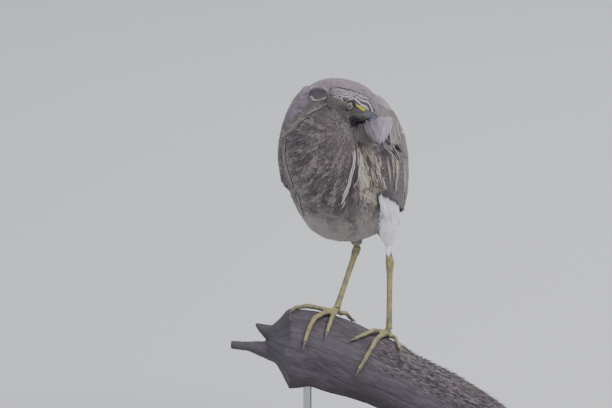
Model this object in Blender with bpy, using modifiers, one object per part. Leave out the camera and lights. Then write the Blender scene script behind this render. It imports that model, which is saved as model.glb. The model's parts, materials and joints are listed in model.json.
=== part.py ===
"""A life-size pond heron that preens its left shoulder, on a cut length of driftwood over a display stand.

Metres, +Z up. The origin is the centre of the stand's underside. The bird faces -Y, turned a little
towards -X, so its left side is towards +X. Each piece is one closed solid, and neighbours keep a thin gap.
"""

import math

import bmesh
import bpy
from mathutils import Vector

MM = 0.001
GAP = 0.4 * MM

# The bird's own left and right, as signs along its left direction.
SIDES = {"left": 1, "right": -1}

# Attitude of the bird.
HEADING = math.radians(22)
TRUNK_PITCH = math.radians(50)
UP = Vector((0, 0, 1))
FORWARD = Vector((-math.sin(HEADING), -math.cos(HEADING), 0))
LEFT = Vector((math.cos(HEADING), -math.sin(HEADING), 0))

# Trunk: a blunt egg round an axis that runs from the vent up to the shoulders.
TRUNK_CENTRE = Vector((-20, 14, 300)) * MM
TRUNK_AXIS = FORWARD * math.cos(TRUNK_PITCH) + UP * math.sin(TRUNK_PITCH)
TRUNK_DORSAL = UP * math.cos(TRUNK_PITCH) - FORWARD * math.sin(TRUNK_PITCH)
TRUNK_FRONT = 78 * MM
TRUNK_REAR = 92 * MM
TRUNK_HALF_WIDTH = 48 * MM
TRUNK_RISE = 52 * MM
TRUNK_DROP = 67 * MM
TRUNK_ARCH = 6 * MM
TRUNK_HUNCH = 14 * MM
TRUNK_FRONT_POWER = 2.7
TRUNK_REAR_POWER = 2.2
TRUNK_SECTION_POWER = 2.4
VENT_TUCK = 0.9
VENT_TUCK_START = 0.4

# Head: turned to the left shoulder and tipped down. It is measured from the middle of the bill's base.
BILL_BASE = Vector((1.3, -48, 359.4)) * MM
HEAD_LEFT = Vector((-0.064, 0.938, 0.340)).normalized()
HEAD_FORWARD = Vector((0.724, 0.278, -0.631))
HEAD_FORWARD = (HEAD_FORWARD - HEAD_LEFT * HEAD_FORWARD.dot(HEAD_LEFT)).normalized()
HEAD_UP = HEAD_FORWARD.cross(HEAD_LEFT)
BILL_DROOP = math.radians(9)
BILL_DIRECTION = HEAD_FORWARD * math.cos(BILL_DROOP) - HEAD_UP * math.sin(BILL_DROOP)
BILL_UP = HEAD_UP * math.cos(BILL_DROOP) + HEAD_FORWARD * math.sin(BILL_DROOP)
BILL_LENGTH = 52 * MM
UNDERBITE = 1.5 * MM
EYE_RADIUS = 4.6 * MM
EYE_BACK = 24.5 * MM
EYE_RISE = 2.1 * MM
EYE_SIDE = 9.3 * MM

# Perch: its axis is a height above the floor for each distance across, and it slopes down to the right.
PERCH_LEFT = -68 * MM
PERCH_RIGHT = 112 * MM
PERCH_SIDES = 20
PERCH_RINGS = 24

# Stand.
BASE_SIZE = Vector((232, 150, 12)) * MM
BASE_EDGE = 2.5 * MM
ROD_RADIUS = 4 * MM
ROD_DEPTH_IN_PERCH = 12 * MM

# Legs. Each foot stands on the perch's ridge, and its ankle is behind and above it.
FOOT_X = {"left": 5.5 * MM, "right": -37 * MM}
ANKLE = {"left": Vector((22.5, 14, 208)) * MM, "right": Vector((-7.4, 22, 219)) * MM}
TOE_RADIUS = 2.5 * MM
TOE_TAPER = 0.34
CLAW_LENGTH = 7.5 * MM
PAD_HEIGHT = 4.2 * MM
FOOT_JOINT_HEIGHT = 3.2 * MM
KNEE_CLEARANCE = 1.5 * MM

COLOURS = {
    "mantle_feathers": (0.33, 0.26, 0.22),
    "breast_feathers": (0.45, 0.37, 0.29),
    "wing_feathers": (0.38, 0.31, 0.26),
    "white_feathers": (0.86, 0.85, 0.84),
    "leg_skin": (0.55, 0.52, 0.22),
    "claw_horn": (0.20, 0.17, 0.13),
    "bill_horn": (0.42, 0.46, 0.50),
    "eye": (0.70, 0.62, 0.15),
    "driftwood": (0.20, 0.17, 0.16),
    "stained_wood": (0.10, 0.09, 0.09),
    "steel": (0.62, 0.63, 0.65),
}


def clear_scene():
    for obj in list(bpy.data.objects):
        bpy.data.objects.remove(obj)


def new_collection(name):
    collection = bpy.data.collections.new(name)
    bpy.context.scene.collection.children.link(collection)
    return collection


def material(name, roughness=0.8, metallic=0.0):
    found = bpy.data.materials.get(name)
    if found:
        return found
    made = bpy.data.materials.new(name)
    made.use_nodes = True
    shader = made.node_tree.nodes["Principled BSDF"]
    shader.inputs["Base Color"].default_value = (*COLOURS[name], 1)
    shader.inputs["Roughness"].default_value = roughness
    shader.inputs["Metallic"].default_value = metallic
    return made


def add_part(name, mesh, finish, roughness=0.8, metallic=0.0):
    obj = bpy.data.objects.new(name, mesh)
    parts.objects.link(obj)
    mesh.materials.clear()
    mesh.materials.append(material(finish, roughness, metallic))
    mesh.shade_smooth()
    mesh.set_sharp_from_angle(angle=math.radians(40))
    return obj


def add_helper(name, mesh):
    obj = bpy.data.objects.new(name, mesh)
    helpers.objects.link(obj)
    obj.hide_render = True
    obj.display_type = "WIRE"
    return obj


def add_room(name, mesh, distance=GAP):
    """A helper in the shape of mesh, pushed out on all sides, that cuts room for it in its neighbours."""
    shape = bmesh.new()
    shape.from_mesh(mesh)
    shape.normal_update()
    moves = [vertex.normal * vertex.calc_shell_factor() * distance for vertex in shape.verts]
    for vertex, move in zip(shape.verts, moves):
        vertex.co += move
    room = bpy.data.meshes.new(name)
    shape.to_mesh(room)
    shape.free()
    return add_helper(name, room)


def combine(obj, other, operation):
    modifier = obj.modifiers.new(f"{operation.lower()}_{other.name}", "BOOLEAN")
    modifier.operation = operation
    modifier.solver = "EXACT"
    modifier.object = other


def cut(obj, *rooms):
    for room in rooms:
        combine(obj, room, "DIFFERENCE")


def smooth_value(stations, t):
    """A smooth curve through [(t, value), ...], level at neither end, for numbers or vectors."""
    last = len(stations) - 1
    i = max(k for k in range(last) if k == 0 or stations[k][0] <= t)
    (t0, a), (t1, b) = stations[i], stations[i + 1]
    before_t, before = stations[max(i - 1, 0)]
    after_t, after = stations[min(i + 2, last)]
    slope_a = (b - before) / (t1 - before_t)
    slope_b = (after - a) / (after_t - t0)
    span = t1 - t0
    s = (t - t0) / span
    return (
        a * (2 * s**3 - 3 * s**2 + 1)
        + slope_a * span * (s**3 - 2 * s**2 + s)
        + b * (3 * s**2 - 2 * s**3)
        + slope_b * span * (s**3 - s**2)
    )


def stretch(count, low=0.0, high=1.0):
    """count numbers from low to high, both included."""
    return [low + (high - low) * i / (count - 1) for i in range(count)]


def blunt(x, power):
    """cos or sin of an angle on a superellipse of that power."""
    return math.copysign(abs(x) ** (2 / power), x)


def section(centre, side, top, half_width, rise, drop, sides, power=2.2):
    """A closed ring round centre: half_width along side, rise along top and drop below."""
    ring = []
    for i in range(sides):
        angle = 2 * math.pi * i / sides
        height = rise if math.sin(angle) >= 0 else drop
        across = side * half_width * blunt(math.cos(angle), power)
        ring.append(centre + across + top * height * blunt(math.sin(angle), power))
    return ring


def loft(name, rings):
    """A closed mesh through rings of equal count, with a flat cap on each end."""
    shape = bmesh.new()
    loops = [[shape.verts.new(point) for point in ring] for ring in rings]
    for one, two in zip(loops, loops[1:]):
        for i in range(len(one)):
            j = (i + 1) % len(one)
            shape.faces.new((one[i], one[j], two[j], two[i]))
    shape.faces.new(loops[0])
    shape.faces.new(loops[-1])
    bmesh.ops.recalc_face_normals(shape, faces=shape.faces)
    mesh = bpy.data.meshes.new(name)
    shape.to_mesh(mesh)
    shape.free()
    return mesh


def body_point(forward, left, up):
    """A point by its distance in mm from the trunk's centre."""
    return TRUNK_CENTRE + (FORWARD * forward + LEFT * left + UP * up) * MM


def tube_mesh(name, points, radii):
    """A round tube of changing radius through points, with its caps welded on."""
    curve = bpy.data.curves.new(name, "CURVE")
    curve.dimensions = "3D"
    curve.bevel_depth = 1.0
    curve.bevel_resolution = 2
    curve.use_fill_caps = True
    line = curve.splines.new("POLY")
    line.points.add(len(points) - 1)
    for knot, point, radius in zip(line.points, points, radii):
        knot.co = (*point, 1)
        knot.radius = radius
    guide = bpy.data.objects.new(name, curve)
    bpy.context.scene.collection.objects.link(guide)
    evaluated = guide.evaluated_get(bpy.context.evaluated_depsgraph_get())
    mesh = bpy.data.meshes.new_from_object(evaluated)
    shape = bmesh.new()
    shape.from_mesh(mesh)
    bmesh.ops.remove_doubles(shape, verts=shape.verts, dist=0.01 * MM)
    bmesh.ops.recalc_face_normals(shape, faces=shape.faces)
    shape.to_mesh(mesh)
    shape.free()
    bpy.data.objects.remove(guide)
    return mesh


# ---------------------------------------------------------------- trunk, neck and head


def trunk_mesh():
    """The plumage of back, breast and belly as one egg, with its front blunter than its rear."""
    rings = []
    for turn in stretch(20, -0.975, 0.985):
        u = math.sin(turn * math.pi / 2)
        power = TRUNK_FRONT_POWER if u >= 0 else TRUNK_REAR_POWER
        size = (1 - abs(u) ** power) ** (1 / power)
        along = u * (TRUNK_FRONT if u >= 0 else TRUNK_REAR)
        bow = TRUNK_ARCH * (1 - u * u) + TRUNK_HUNCH * u * max(u, 0)
        tuck = 1 - VENT_TUCK * (max(0, -u - VENT_TUCK_START) / (1 - VENT_TUCK_START)) ** 2
        centre = TRUNK_CENTRE + TRUNK_AXIS * along + TRUNK_DORSAL * bow
        half_width = TRUNK_HALF_WIDTH * size
        rise = TRUNK_RISE * size
        drop = TRUNK_DROP * size * tuck
        rings.append(section(centre, LEFT, TRUNK_DORSAL, half_width, rise, drop, 24, TRUNK_SECTION_POWER))
    return loft("trunk", rings)


NECK_PATH = [
    (0.0, Vector((-27, -16, 270)) * MM),
    (0.14, Vector((-29, -18, 287)) * MM),
    (0.38, Vector((-36, -32, 322)) * MM),
    (0.64, Vector((-37, -44, 349)) * MM),
    (0.84, Vector((-30, -50, 367)) * MM),
    (1.0, Vector((-18, -53, 373)) * MM),
]
NECK_RADIUS = [(0.0, 22), (0.14, 38), (0.38, 40), (0.64, 29), (0.84, 18), (1.0, 11)]


def neck_mesh():
    """The folded neck: a loose cone of plumage from breast to nape, in parallel slices along its lean."""
    lean = (NECK_PATH[-1][1] - NECK_PATH[0][1]).normalized()
    side = lean.cross(UP).normalized()
    rings = []
    for t in stretch(11):
        centre = smooth_value(NECK_PATH, t)
        radius = smooth_value(NECK_RADIUS, t) * MM
        rings.append(section(centre, side, side.cross(lean), radius, radius, radius, 18, 2.0))
    return loft("neck", rings)


# Distance behind the bill's base, then half width, height above and depth below the bill's line.
HEAD_STATIONS = [
    (0, Vector((5.9, 9.6, 6.4))),
    (5, Vector((7.4, 13.6, 7.8))),
    (11, Vector((9.0, 15.0, 9.6))),
    (18, Vector((10.6, 13.6, 11.6))),
    (26, Vector((12.0, 9.8, 13.4))),
    (33, Vector((11.6, 6.0, 13.6))),
    (39, Vector((9.0, 2.6, 11.6))),
    (43, Vector((5.2, 0.6, 8.0))),
]
HEAD_LENGTH = 43
# The head's sections lean with the bill's droop as far back as this.
FOREHEAD_LENGTH = 12


def head_point(back, left, up):
    """A point by its distance in mm behind, left of and above the middle of the bill's base."""
    return BILL_BASE + (HEAD_LEFT * left + HEAD_UP * up - HEAD_FORWARD * back) * MM


def head_mesh():
    rings = []
    for back in stretch(13, 0, HEAD_LENGTH):
        half_width, rise, drop = smooth_value(HEAD_STATIONS, back) * MM
        top = HEAD_UP.lerp(BILL_UP, max(0, 1 - back / FOREHEAD_LENGTH)).normalized()
        rings.append(section(head_point(back, 0, 0), HEAD_LEFT, top, half_width, rise, drop, 18))
    return loft("head", rings)


def eye_centre(sign):
    return head_point(EYE_BACK / MM, sign * EYE_SIDE / MM, EYE_RISE / MM)


def eye_mesh(name, sign):
    shape = bmesh.new()
    bmesh.ops.create_uvsphere(shape, u_segments=14, v_segments=8, radius=EYE_RADIUS)
    bmesh.ops.translate(shape, verts=shape.verts, vec=eye_centre(sign))
    mesh = bpy.data.meshes.new(name)
    shape.to_mesh(mesh)
    shape.free()
    return mesh


# Share of the bill's length, then half width and height in mm of one mandible.
BILL_STATIONS = [
    (0.0, Vector((5.0, 5.6))),
    (0.3, Vector((3.9, 4.9))),
    (0.65, Vector((2.6, 3.5))),
    (0.9, Vector((1.2, 1.7))),
    (1.0, Vector((0.4, 0.5))),
]


def mandible_mesh(name, sign, length):
    """Half of a dagger bill: flat on the side where the halves meet. sign is 1 above and -1 below."""
    rings = []
    for t in stretch(10):
        half_width, height = smooth_value(BILL_STATIONS, t) * MM
        centre = BILL_BASE + BILL_DIRECTION * (GAP + t * length) + BILL_UP * sign * GAP / 2
        ring = []
        for i in range(9):
            angle = math.pi * i / 8
            across = HEAD_LEFT * half_width * math.cos(angle)
            ring.append(centre + across + BILL_UP * sign * height * blunt(math.sin(angle), 2.4))
        rings.append(ring)
    return loft(name, rings)


# ---------------------------------------------------------------- wings, tail and thighs

# A folded wing: points in mm forward, outward and up of the trunk's centre.
WING_UPPER_EDGE = [
    (0.0, Vector((35, 27, 56))),
    (0.2, Vector((6, 33, 71))),
    (0.42, Vector((-32, 29, 50))),
    (0.62, Vector((-68, 10, 14))),
    (0.82, Vector((-97, 4, -29))),
    (1.0, Vector((-119, 4, -63))),
]
WING_LOWER_EDGE = [
    (0.0, Vector((46, 36, 26))),
    (0.2, Vector((34, 46, -8))),
    (0.42, Vector((0, 51, -31))),
    (0.62, Vector((-38, 43, -46))),
    (0.82, Vector((-80, 25, -60))),
    (1.0, Vector((-119, 6, -70))),
]
WING_BULGE = {
    "left": [(0.0, 8.0), (0.2, 18.0), (0.42, 14.0), (0.62, 13.0), (0.82, 6.0), (1.0, 0.4)],
    "right": [(0.0, 4.0), (0.2, 7.0), (0.42, 9.0), (0.62, 13.0), (0.82, 6.0), (1.0, 0.4)],
}
# The left shoulder hangs lower: how far its upper edge is moved, by the place along the wing.
SHOULDER_DROP = {"left": Vector((0, -3.7, -3.7)), "right": Vector((0, 0, 0))}
SHOULDER_SHARE = [(0.0, 1.0), (0.2, 1.0), (0.42, 0.0), (1.0, 0.0)]
WING_THICKNESS = [(0.0, 5.0), (0.2, 10.0), (0.42, 8.0), (0.62, 6.0), (0.82, 3.6), (1.0, 1.6)]
# Thickness at the wing's edges, as a share of that in its middle.
WING_EDGE = 0.35


def wing_mesh(side):
    """A folded wing as a thin curved lens. The left one stands out a little at its front."""
    rings = []
    for t in stretch(18):
        upper = smooth_value(WING_UPPER_EDGE, t) + SHOULDER_DROP[side] * smooth_value(SHOULDER_SHARE, t)
        lower = smooth_value(WING_LOWER_EDGE, t)
        chord = (upper - lower).normalized()
        outward = Vector((0.25, 1, 0.0))
        outward = (outward - chord * outward.dot(chord)).normalized()
        bulge = smooth_value(WING_BULGE[side], t)
        thickness = smooth_value(WING_THICKNESS, t)
        outer, inner = [], []
        for s in stretch(7):
            bow = 1 - (2 * s - 1) ** 2
            middle = lower.lerp(upper, s) + outward * bulge * bow
            half = (WING_EDGE + (1 - WING_EDGE) * bow**0.5) * thickness / 2
            outer.append(middle + outward * half)
            inner.append(middle - outward * half)
        ring = outer + inner[::-1]
        rings.append([body_point(p.x, p.y * SIDES[side], p.z) for p in ring])
    return loft(f"wing_{side}", rings)


TAIL_ROOT = Vector((-44, -1, -58))
TAIL_TIP = Vector((-119, -5, -87))
TAIL_HALF_WIDTH = [(0.0, 13.0), (0.6, 13.5), (0.9, 12.0), (1.0, 7.0)]
TAIL_THICKNESS = [(0.0, 12.0), (0.5, 6.0), (1.0, 2.0)]


def tail_mesh():
    """A short closed tail, a little higher along its middle."""
    direction = (TAIL_TIP - TAIL_ROOT).normalized()
    top = Vector((0, 1, 0)).cross(direction).normalized()
    top = top if top.z > 0 else -top
    rings = []
    for t in stretch(9):
        centre = TAIL_ROOT.lerp(TAIL_TIP, t)
        half_width = smooth_value(TAIL_HALF_WIDTH, t)
        half = smooth_value(TAIL_THICKNESS, t) / 2
        ring = section(centre, Vector((0, 1, 0)), top, half_width, half, half, 12)
        rings.append([body_point(p.x, p.y, p.z) for p in ring])
    return loft("tail", rings)


THIGH_PATH = {
    "left": [
        (0.0, Vector((10, 12, 274)) * MM),
        (0.4, Vector((16.5, 6, 254)) * MM),
        (0.75, Vector((19.5, 7, 238)) * MM),
        (1.0, Vector((20.8, 9.5, 227)) * MM),
    ],
    "right": [
        (0.0, Vector((-15, 30, 258)) * MM),
        (0.4, Vector((-12, 27, 244)) * MM),
        (0.75, Vector((-9.5, 25, 231)) * MM),
        (1.0, Vector((-8.3, 23.5, 223.5)) * MM),
    ],
}
THIGH_RADIUS = [(0.0, 16), (0.4, 14), (0.75, 9.0), (1.0, 4.2)]


def thigh_mesh(side):
    """The feathered part of the leg, sunk into the belly."""
    rings = []
    for t in stretch(9):
        centre = smooth_value(THIGH_PATH[side], t)
        radius = smooth_value(THIGH_RADIUS, t) * MM
        rings.append(section(centre, Vector((1, 0, 0)), Vector((0, 1, 0)), radius, radius, radius, 14, 2.0))
    return loft(f"thigh_{side}", rings)


# ---------------------------------------------------------------- perch

# Distance across, then the axis's height, its distance behind the origin, and the radius, in mm.
PERCH_AXIS = [
    (-68, Vector((132.0, 0, 36.5))),
    (-44, Vector((131.0, 0, 34.5))),
    (-15, Vector((121.5, -1, 33.5))),
    (14, Vector((109.0, 0, 31.0))),
    (32, Vector((98.0, 0, 30.0))),
    (63, Vector((81.5, 1, 29.5))),
    (80, Vector((70.5, 2, 29.5))),
    (112, Vector((49.0, 3, 29.5))),
]


def perch_frame(x):
    """The perch's centre, direction, radius and top direction at a distance across."""
    height, behind, radius = smooth_value(PERCH_AXIS, x / MM) * MM
    step = 1 * MM
    ahead, ahead_y, _ = smooth_value(PERCH_AXIS, (x + step) / MM) * MM
    direction = Vector((step, ahead_y - behind, ahead - height)).normalized()
    top = (UP - direction * UP.dot(direction)).normalized()
    return Vector((x, behind, height)), direction, radius, top


def perch_point(x, turn, lift=0.0):
    """A point on the bark at a distance across. turn is the angle in degrees from the ridge to the front."""
    centre, direction, radius, top = perch_frame(x)
    angle = math.radians(turn)
    front = direction.cross(top)
    front = front if front.y < 0 else -front
    along = x / MM
    rough = 0.035 * math.sin(3 * angle + 0.9 + along * 0.021)
    rough += 0.022 * math.sin(5 * angle - along * 0.034)
    rough += 0.012 * math.sin(along * 0.16 + 2 * angle)
    ridge = math.exp(-((turn / 38) ** 2))
    reach = radius * (1 + rough * (1 - 0.8 * ridge)) + lift
    return centre + (top * math.cos(angle) + front * math.sin(angle)) * reach


# The broken end tapers to a ragged stump: distance across, height and radius in mm.
BREAK = [(-89, 137, 8), (-86, 136.5, 14), (-80, 136.5, 20), (-74.5, 134.5, 26.5), (-70.5, 133, 33)]


def break_ring(x, height, radius, turns):
    """A ring of the stump, with torn ridges that run lengthwise."""
    ring = []
    for turn in turns:
        angle = math.radians(turn)
        tear = 1 + 0.10 * math.sin(5 * angle + 0.6) + 0.07 * math.sin(9 * angle + x * 0.2)
        step = 1.6 * math.sin(7 * angle + 1.1)
        across = Vector((x + step, 0, height))
        ring.append((across + Vector((0, -math.sin(angle), math.cos(angle))) * radius * tear) * MM)
    return ring


def perch_mesh():
    """The log: a rough bent trunk with a torn stump at the left and a saw cut at the right."""
    turns = [360 * i / PERCH_SIDES for i in range(PERCH_SIDES)]
    rings = [break_ring(x, height, radius, turns) for x, height, radius in BREAK]
    for x in stretch(PERCH_RINGS, PERCH_LEFT, PERCH_RIGHT):
        rings.append([perch_point(x, turn) for turn in turns])
    return loft("perch", rings)


# Splinters that the break left: points and radii along each, in mm.
SPLINTERS = {
    "low": [
        ((-121.5, -7, 136.5), 4),
        ((-105, -7, 135), 5),
        ((-93, -5, 132), 7.5),
        ((-82, -3, 129), 10),
        ((-70, 0, 126), 14),
    ],
    "high": [((-99, 4, 153), 1.5), ((-94, 4, 149.5), 4.2), ((-86, 3, 145), 8), ((-74, 1, 140), 13)],
}


def splinter_mesh(name, route):
    return tube_mesh(name, [Vector(point) * MM for point, _ in route], [radius * MM for _, radius in route])


# ---------------------------------------------------------------- legs, feet and claws


def leg_foot_end(side):
    """Where the tarsus ends, above the middle of the foot."""
    return perch_point(FOOT_X[side], 0, PAD_HEIGHT + FOOT_JOINT_HEIGHT)


def leg_mesh(side):
    """The bare shin: the end of the tibia, the knobbed ankle and the tarsus."""
    ankle = ANKLE[side]
    knee_end = THIGH_PATH[side][-1][1] - UP * KNEE_CLEARANCE
    foot_end = leg_foot_end(side)
    points, radii = [], []
    for t, radius in ((0.0, 2.7), (0.4, 2.7), (0.8, 3.6)):
        points.append(knee_end.lerp(ankle, t))
        radii.append(radius * MM)
    for t, radius in ((0.0, 4.2), (0.07, 3.9), (0.16, 3.0), (0.5, 2.7), (0.85, 2.8), (1.0, 3.4)):
        points.append(ankle.lerp(foot_end, t))
        radii.append(radius * MM)
    return tube_mesh(f"leg_{side}", points, radii)


# Toes: for each, the stations along it as (distance across from the foot, turn from the ridge) and its size.
TOES = {
    "left": {
        "inner": ([(-5, 8), (-14.5, 25), (-23.5, 43)], 1.0),
        "middle": ([(-3, 13), (-7.5, 32), (-10, 52), (-11.5, 70), (-13, 85)], 1.05),
        "outer": ([(3, 3), (7.5, 9), (10.5, 24)], 0.95),
        "hind": ([(2, -14), (4, -36), (6, -60)], 0.9),
    },
    "right": {
        "inner": ([(-1, 14), (-2, 32), (-2.6, 49)], 0.95),
        "middle": ([(-5, 11), (-11.5, 32), (-14.8, 48), (-17.6, 67)], 1.05),
        "outer": ([(-5, 4), (-16, 4), (-26, 7), (-29.5, 16)], 1.0),
        "hind": ([(4, -10), (9, -13), (14, -26)], 0.9),
    },
}
TOE_POINTS = 7


def toe_stations(side, toe):
    route, size = TOES[side][toe]
    last = len(route) - 1
    return [(i / last, Vector((*spot, 0))) for i, spot in enumerate(route)], size


def toe_point(side, toe, t, lift):
    stations, _ = toe_stations(side, toe)
    across, turn, _ = smooth_value(stations, t)
    return perch_point(FOOT_X[side] + across * MM, turn, lift)


def toe_radius(t, size):
    """The toe thins towards its claw, with three knuckles."""
    return TOE_RADIUS * size * (1 - TOE_TAPER * t) * (1 + 0.09 * math.cos(6 * math.pi * t))


def toe_mesh(side, toe):
    """The toe starts at the pad, lifts a little over its first joint and then lies on the bark."""
    _, size = toe_stations(side, toe)
    pad = perch_point(FOOT_X[side], 0, PAD_HEIGHT)
    points, radii = [pad], [TOE_RADIUS * size]
    for t in stretch(TOE_POINTS):
        radius = toe_radius(t, size)
        arch = 1.6 * MM * math.sin(math.pi * min(t * 1.6, 1.0))
        points.append(toe_point(side, toe, t, radius + GAP + arch))
        radii.append(radius)
    return tube_mesh(f"toe_{side}_{toe}", points, radii)


def claw_mesh(side, toe):
    """A short curved claw that carries on from the toe and points down to the bark."""
    _, size = toe_stations(side, toe)
    end_radius = toe_radius(1.0, size)
    tip = toe_point(side, toe, 1.0, end_radius + GAP)
    before = toe_point(side, toe, 0.86, toe_radius(0.86, size) + GAP)
    along = (tip - before).normalized()
    route, _ = TOES[side][toe]
    centre, direction, _, _ = perch_frame(FOOT_X[side] + route[-1][0] * MM)
    offset = tip - centre
    out = (offset - direction * offset.dot(direction)).normalized()
    length = CLAW_LENGTH * size
    points, radii = [], []
    for t in stretch(5):
        rise = 0.9 * MM * math.sin(math.pi * t) - 0.5 * MM * t
        points.append(tip + along * (GAP + t * length) + out * rise)
        radii.append(end_radius * (0.78 * (1 - t) + 0.12))
    return tube_mesh(f"claw_{side}_{toe}", points, radii)


def foot_stub_mesh(side):
    """The joint above the toes, which ends in a flat just below the leg's own end."""
    pad = perch_point(FOOT_X[side], 0, PAD_HEIGHT)
    top = leg_foot_end(side)
    along = (ANKLE[side] - top).normalized()
    points = [pad - UP * 0.9 * MM, pad + UP * 1.2 * MM, top - along * GAP]
    return tube_mesh(f"foot_{side}", points, [2.9 * MM, 3.9 * MM, 3.5 * MM])


# ---------------------------------------------------------------- stand


def base_object():
    bpy.ops.mesh.primitive_cube_add(size=1, location=(0, 0, 0))
    cube = bpy.context.object
    mesh = cube.data
    bpy.data.objects.remove(cube)
    for vertex in mesh.vertices:
        vertex.co.x *= BASE_SIZE.x
        vertex.co.y *= BASE_SIZE.y
        vertex.co.z = (vertex.co.z + 0.5) * BASE_SIZE.z
    base = add_part("stand_base", mesh, "stained_wood", 0.35)
    bevel = base.modifiers.new("rounded_edges", "BEVEL")
    bevel.width = BASE_EDGE
    bevel.segments = 2
    return base


def rod_mesh(name, foot, top, radius):
    shape = bmesh.new()
    length = top - foot.z
    bmesh.ops.create_cone(shape, cap_ends=True, segments=20, radius1=radius, radius2=radius, depth=length)
    bmesh.ops.translate(shape, verts=shape.verts, vec=foot + UP * length / 2)
    mesh = bpy.data.meshes.new(name)
    shape.to_mesh(mesh)
    shape.free()
    return mesh


ROD_PLACES = {"left": Vector((-52 * MM, 0, 0)), "right": Vector((76 * MM, 2 * MM, 0))}


def rod_top(place):
    centre, _, radius, _ = perch_frame(place.x)
    return centre.z - radius + ROD_DEPTH_IN_PERCH


# ---------------------------------------------------------------- assembly


def build_bird():
    trunk = add_part("trunk", trunk_mesh(), "mantle_feathers")
    head = add_part("head", head_mesh(), "breast_feathers")
    neck = add_part("neck", neck_mesh(), "breast_feathers")
    tail = add_part("tail", tail_mesh(), "white_feathers")
    bill = [
        add_part("bill_upper", mandible_mesh("bill_upper", 1, BILL_LENGTH), "bill_horn", 0.35),
        add_part("bill_lower", mandible_mesh("bill_lower", -1, BILL_LENGTH - UNDERBITE), "bill_horn", 0.35),
    ]
    head_room = add_room("head_room", head.data)
    trunk_room = add_room("trunk_room", trunk.data)
    bill_rooms = [add_room(f"{mandible.name}_room", mandible.data) for mandible in bill]
    cut(neck, trunk_room, head_room)
    cut(tail, trunk_room)
    for side, sign in SIDES.items():
        eye = add_part(f"eye_{side}", eye_mesh(f"eye_{side}", sign), "eye", 0.1)
        cut(head, add_room(f"eye_socket_{side}", eye.data))
        wing = add_part(f"wing_{side}", wing_mesh(side), "wing_feathers")
        wing_room = add_room(f"wing_room_{side}", wing.data)
        cut(wing, *bill_rooms)
        thigh = add_part(f"thigh_{side}", thigh_mesh(side), "white_feathers")
        cut(trunk, wing_room, add_room(f"thigh_room_{side}", thigh.data))
        for piece in (neck, tail, thigh):
            cut(piece, wing_room)


def build_legs():
    for side in SIDES:
        leg = add_part(f"leg_{side}", leg_mesh(side), "leg_skin", 0.6)
        foot = add_part(f"foot_{side}", foot_stub_mesh(side), "leg_skin", 0.6)
        for toe in TOES[side]:
            combine(foot, add_helper(f"toe_{side}_{toe}", toe_mesh(side, toe)), "UNION")
            add_part(f"claw_{side}_{toe}", claw_mesh(side, toe), "claw_horn", 0.4)
        cut(foot, add_room(f"leg_room_{side}", leg.data))


def build_perch_and_stand():
    perch = add_part("perch", perch_mesh(), "driftwood", 0.9)
    for name, route in SPLINTERS.items():
        splinter = add_helper(f"splinter_{name}", splinter_mesh(f"splinter_{name}", route))
        combine(perch, splinter, "UNION")
    base_object()
    for name, place in ROD_PLACES.items():
        foot = place + UP * (BASE_SIZE.z + GAP)
        top = rod_top(place)
        add_part(f"stand_rod_{name}", rod_mesh(f"stand_rod_{name}", foot, top, ROD_RADIUS), "steel", 0.3, 1.0)
        hole = add_helper(f"rod_hole_{name}", rod_mesh(f"rod_hole_{name}", foot, top + GAP, ROD_RADIUS + GAP))
        cut(perch, hole)


clear_scene()
parts = new_collection("pond_heron")
helpers = new_collection("helpers")
build_bird()
build_legs()
build_perch_and_stand()
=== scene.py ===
"""Looks for the pond heron: one skin, a coat of solid feathers, eyes, bill, legs, driftwood and a stand.

Metres, +Z up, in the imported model's frame. Lengths written with MM are millimetres. The bird's flesh is one
skin that lies inside the solids by the coat's depth. Each feather is a thin closed blade, laid along a flow
field over the hull, which is the outside of the plumage. Colours are stored on the blades as attributes.
"""

import copy
import json
import math

import bmesh
import bpy
import numpy as np
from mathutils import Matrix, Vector, noise
from mathutils.bvhtree import BVHTree

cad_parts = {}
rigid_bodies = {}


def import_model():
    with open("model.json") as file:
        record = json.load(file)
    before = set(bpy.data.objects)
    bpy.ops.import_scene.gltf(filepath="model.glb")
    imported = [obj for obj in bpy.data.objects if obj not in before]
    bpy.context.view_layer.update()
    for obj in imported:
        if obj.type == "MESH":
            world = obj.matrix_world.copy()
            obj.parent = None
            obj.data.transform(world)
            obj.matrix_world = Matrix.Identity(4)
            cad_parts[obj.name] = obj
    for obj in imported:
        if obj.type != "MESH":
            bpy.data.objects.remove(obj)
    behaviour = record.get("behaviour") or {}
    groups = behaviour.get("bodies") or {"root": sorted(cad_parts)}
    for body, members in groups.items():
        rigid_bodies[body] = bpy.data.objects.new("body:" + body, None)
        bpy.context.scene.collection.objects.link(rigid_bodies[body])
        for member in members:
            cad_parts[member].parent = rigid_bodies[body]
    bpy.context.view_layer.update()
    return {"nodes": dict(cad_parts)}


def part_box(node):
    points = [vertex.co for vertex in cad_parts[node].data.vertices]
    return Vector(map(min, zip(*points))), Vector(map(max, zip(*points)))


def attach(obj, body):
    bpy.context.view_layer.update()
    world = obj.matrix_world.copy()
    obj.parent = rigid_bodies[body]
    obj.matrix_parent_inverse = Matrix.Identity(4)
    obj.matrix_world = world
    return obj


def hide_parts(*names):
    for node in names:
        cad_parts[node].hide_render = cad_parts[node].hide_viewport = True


for spare in list(bpy.data.objects):
    bpy.data.objects.remove(spare)
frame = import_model()

MM = 0.001
NODES = frame["nodes"]
UP = np.array([0.0, 0.0, 1.0])
PLUMAGE = ("trunk", "neck", "head", "wing_left", "wing_right", "tail", "thigh_left", "thigh_right")
LIMBS = ("leg_left", "leg_right", "foot_left", "foot_right")
WELD = 0.01 * MM
# Shares by which smoothing moves a vertex to its neighbours' middle, and back again so that nothing shrinks.
SMOOTHING = (0.5, -0.52)
draw = np.random.default_rng(11)


# ---- small tools


def unit(v):
    return v / (np.linalg.norm(v, axis=-1, keepdims=True) + 1e-12)


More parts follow.
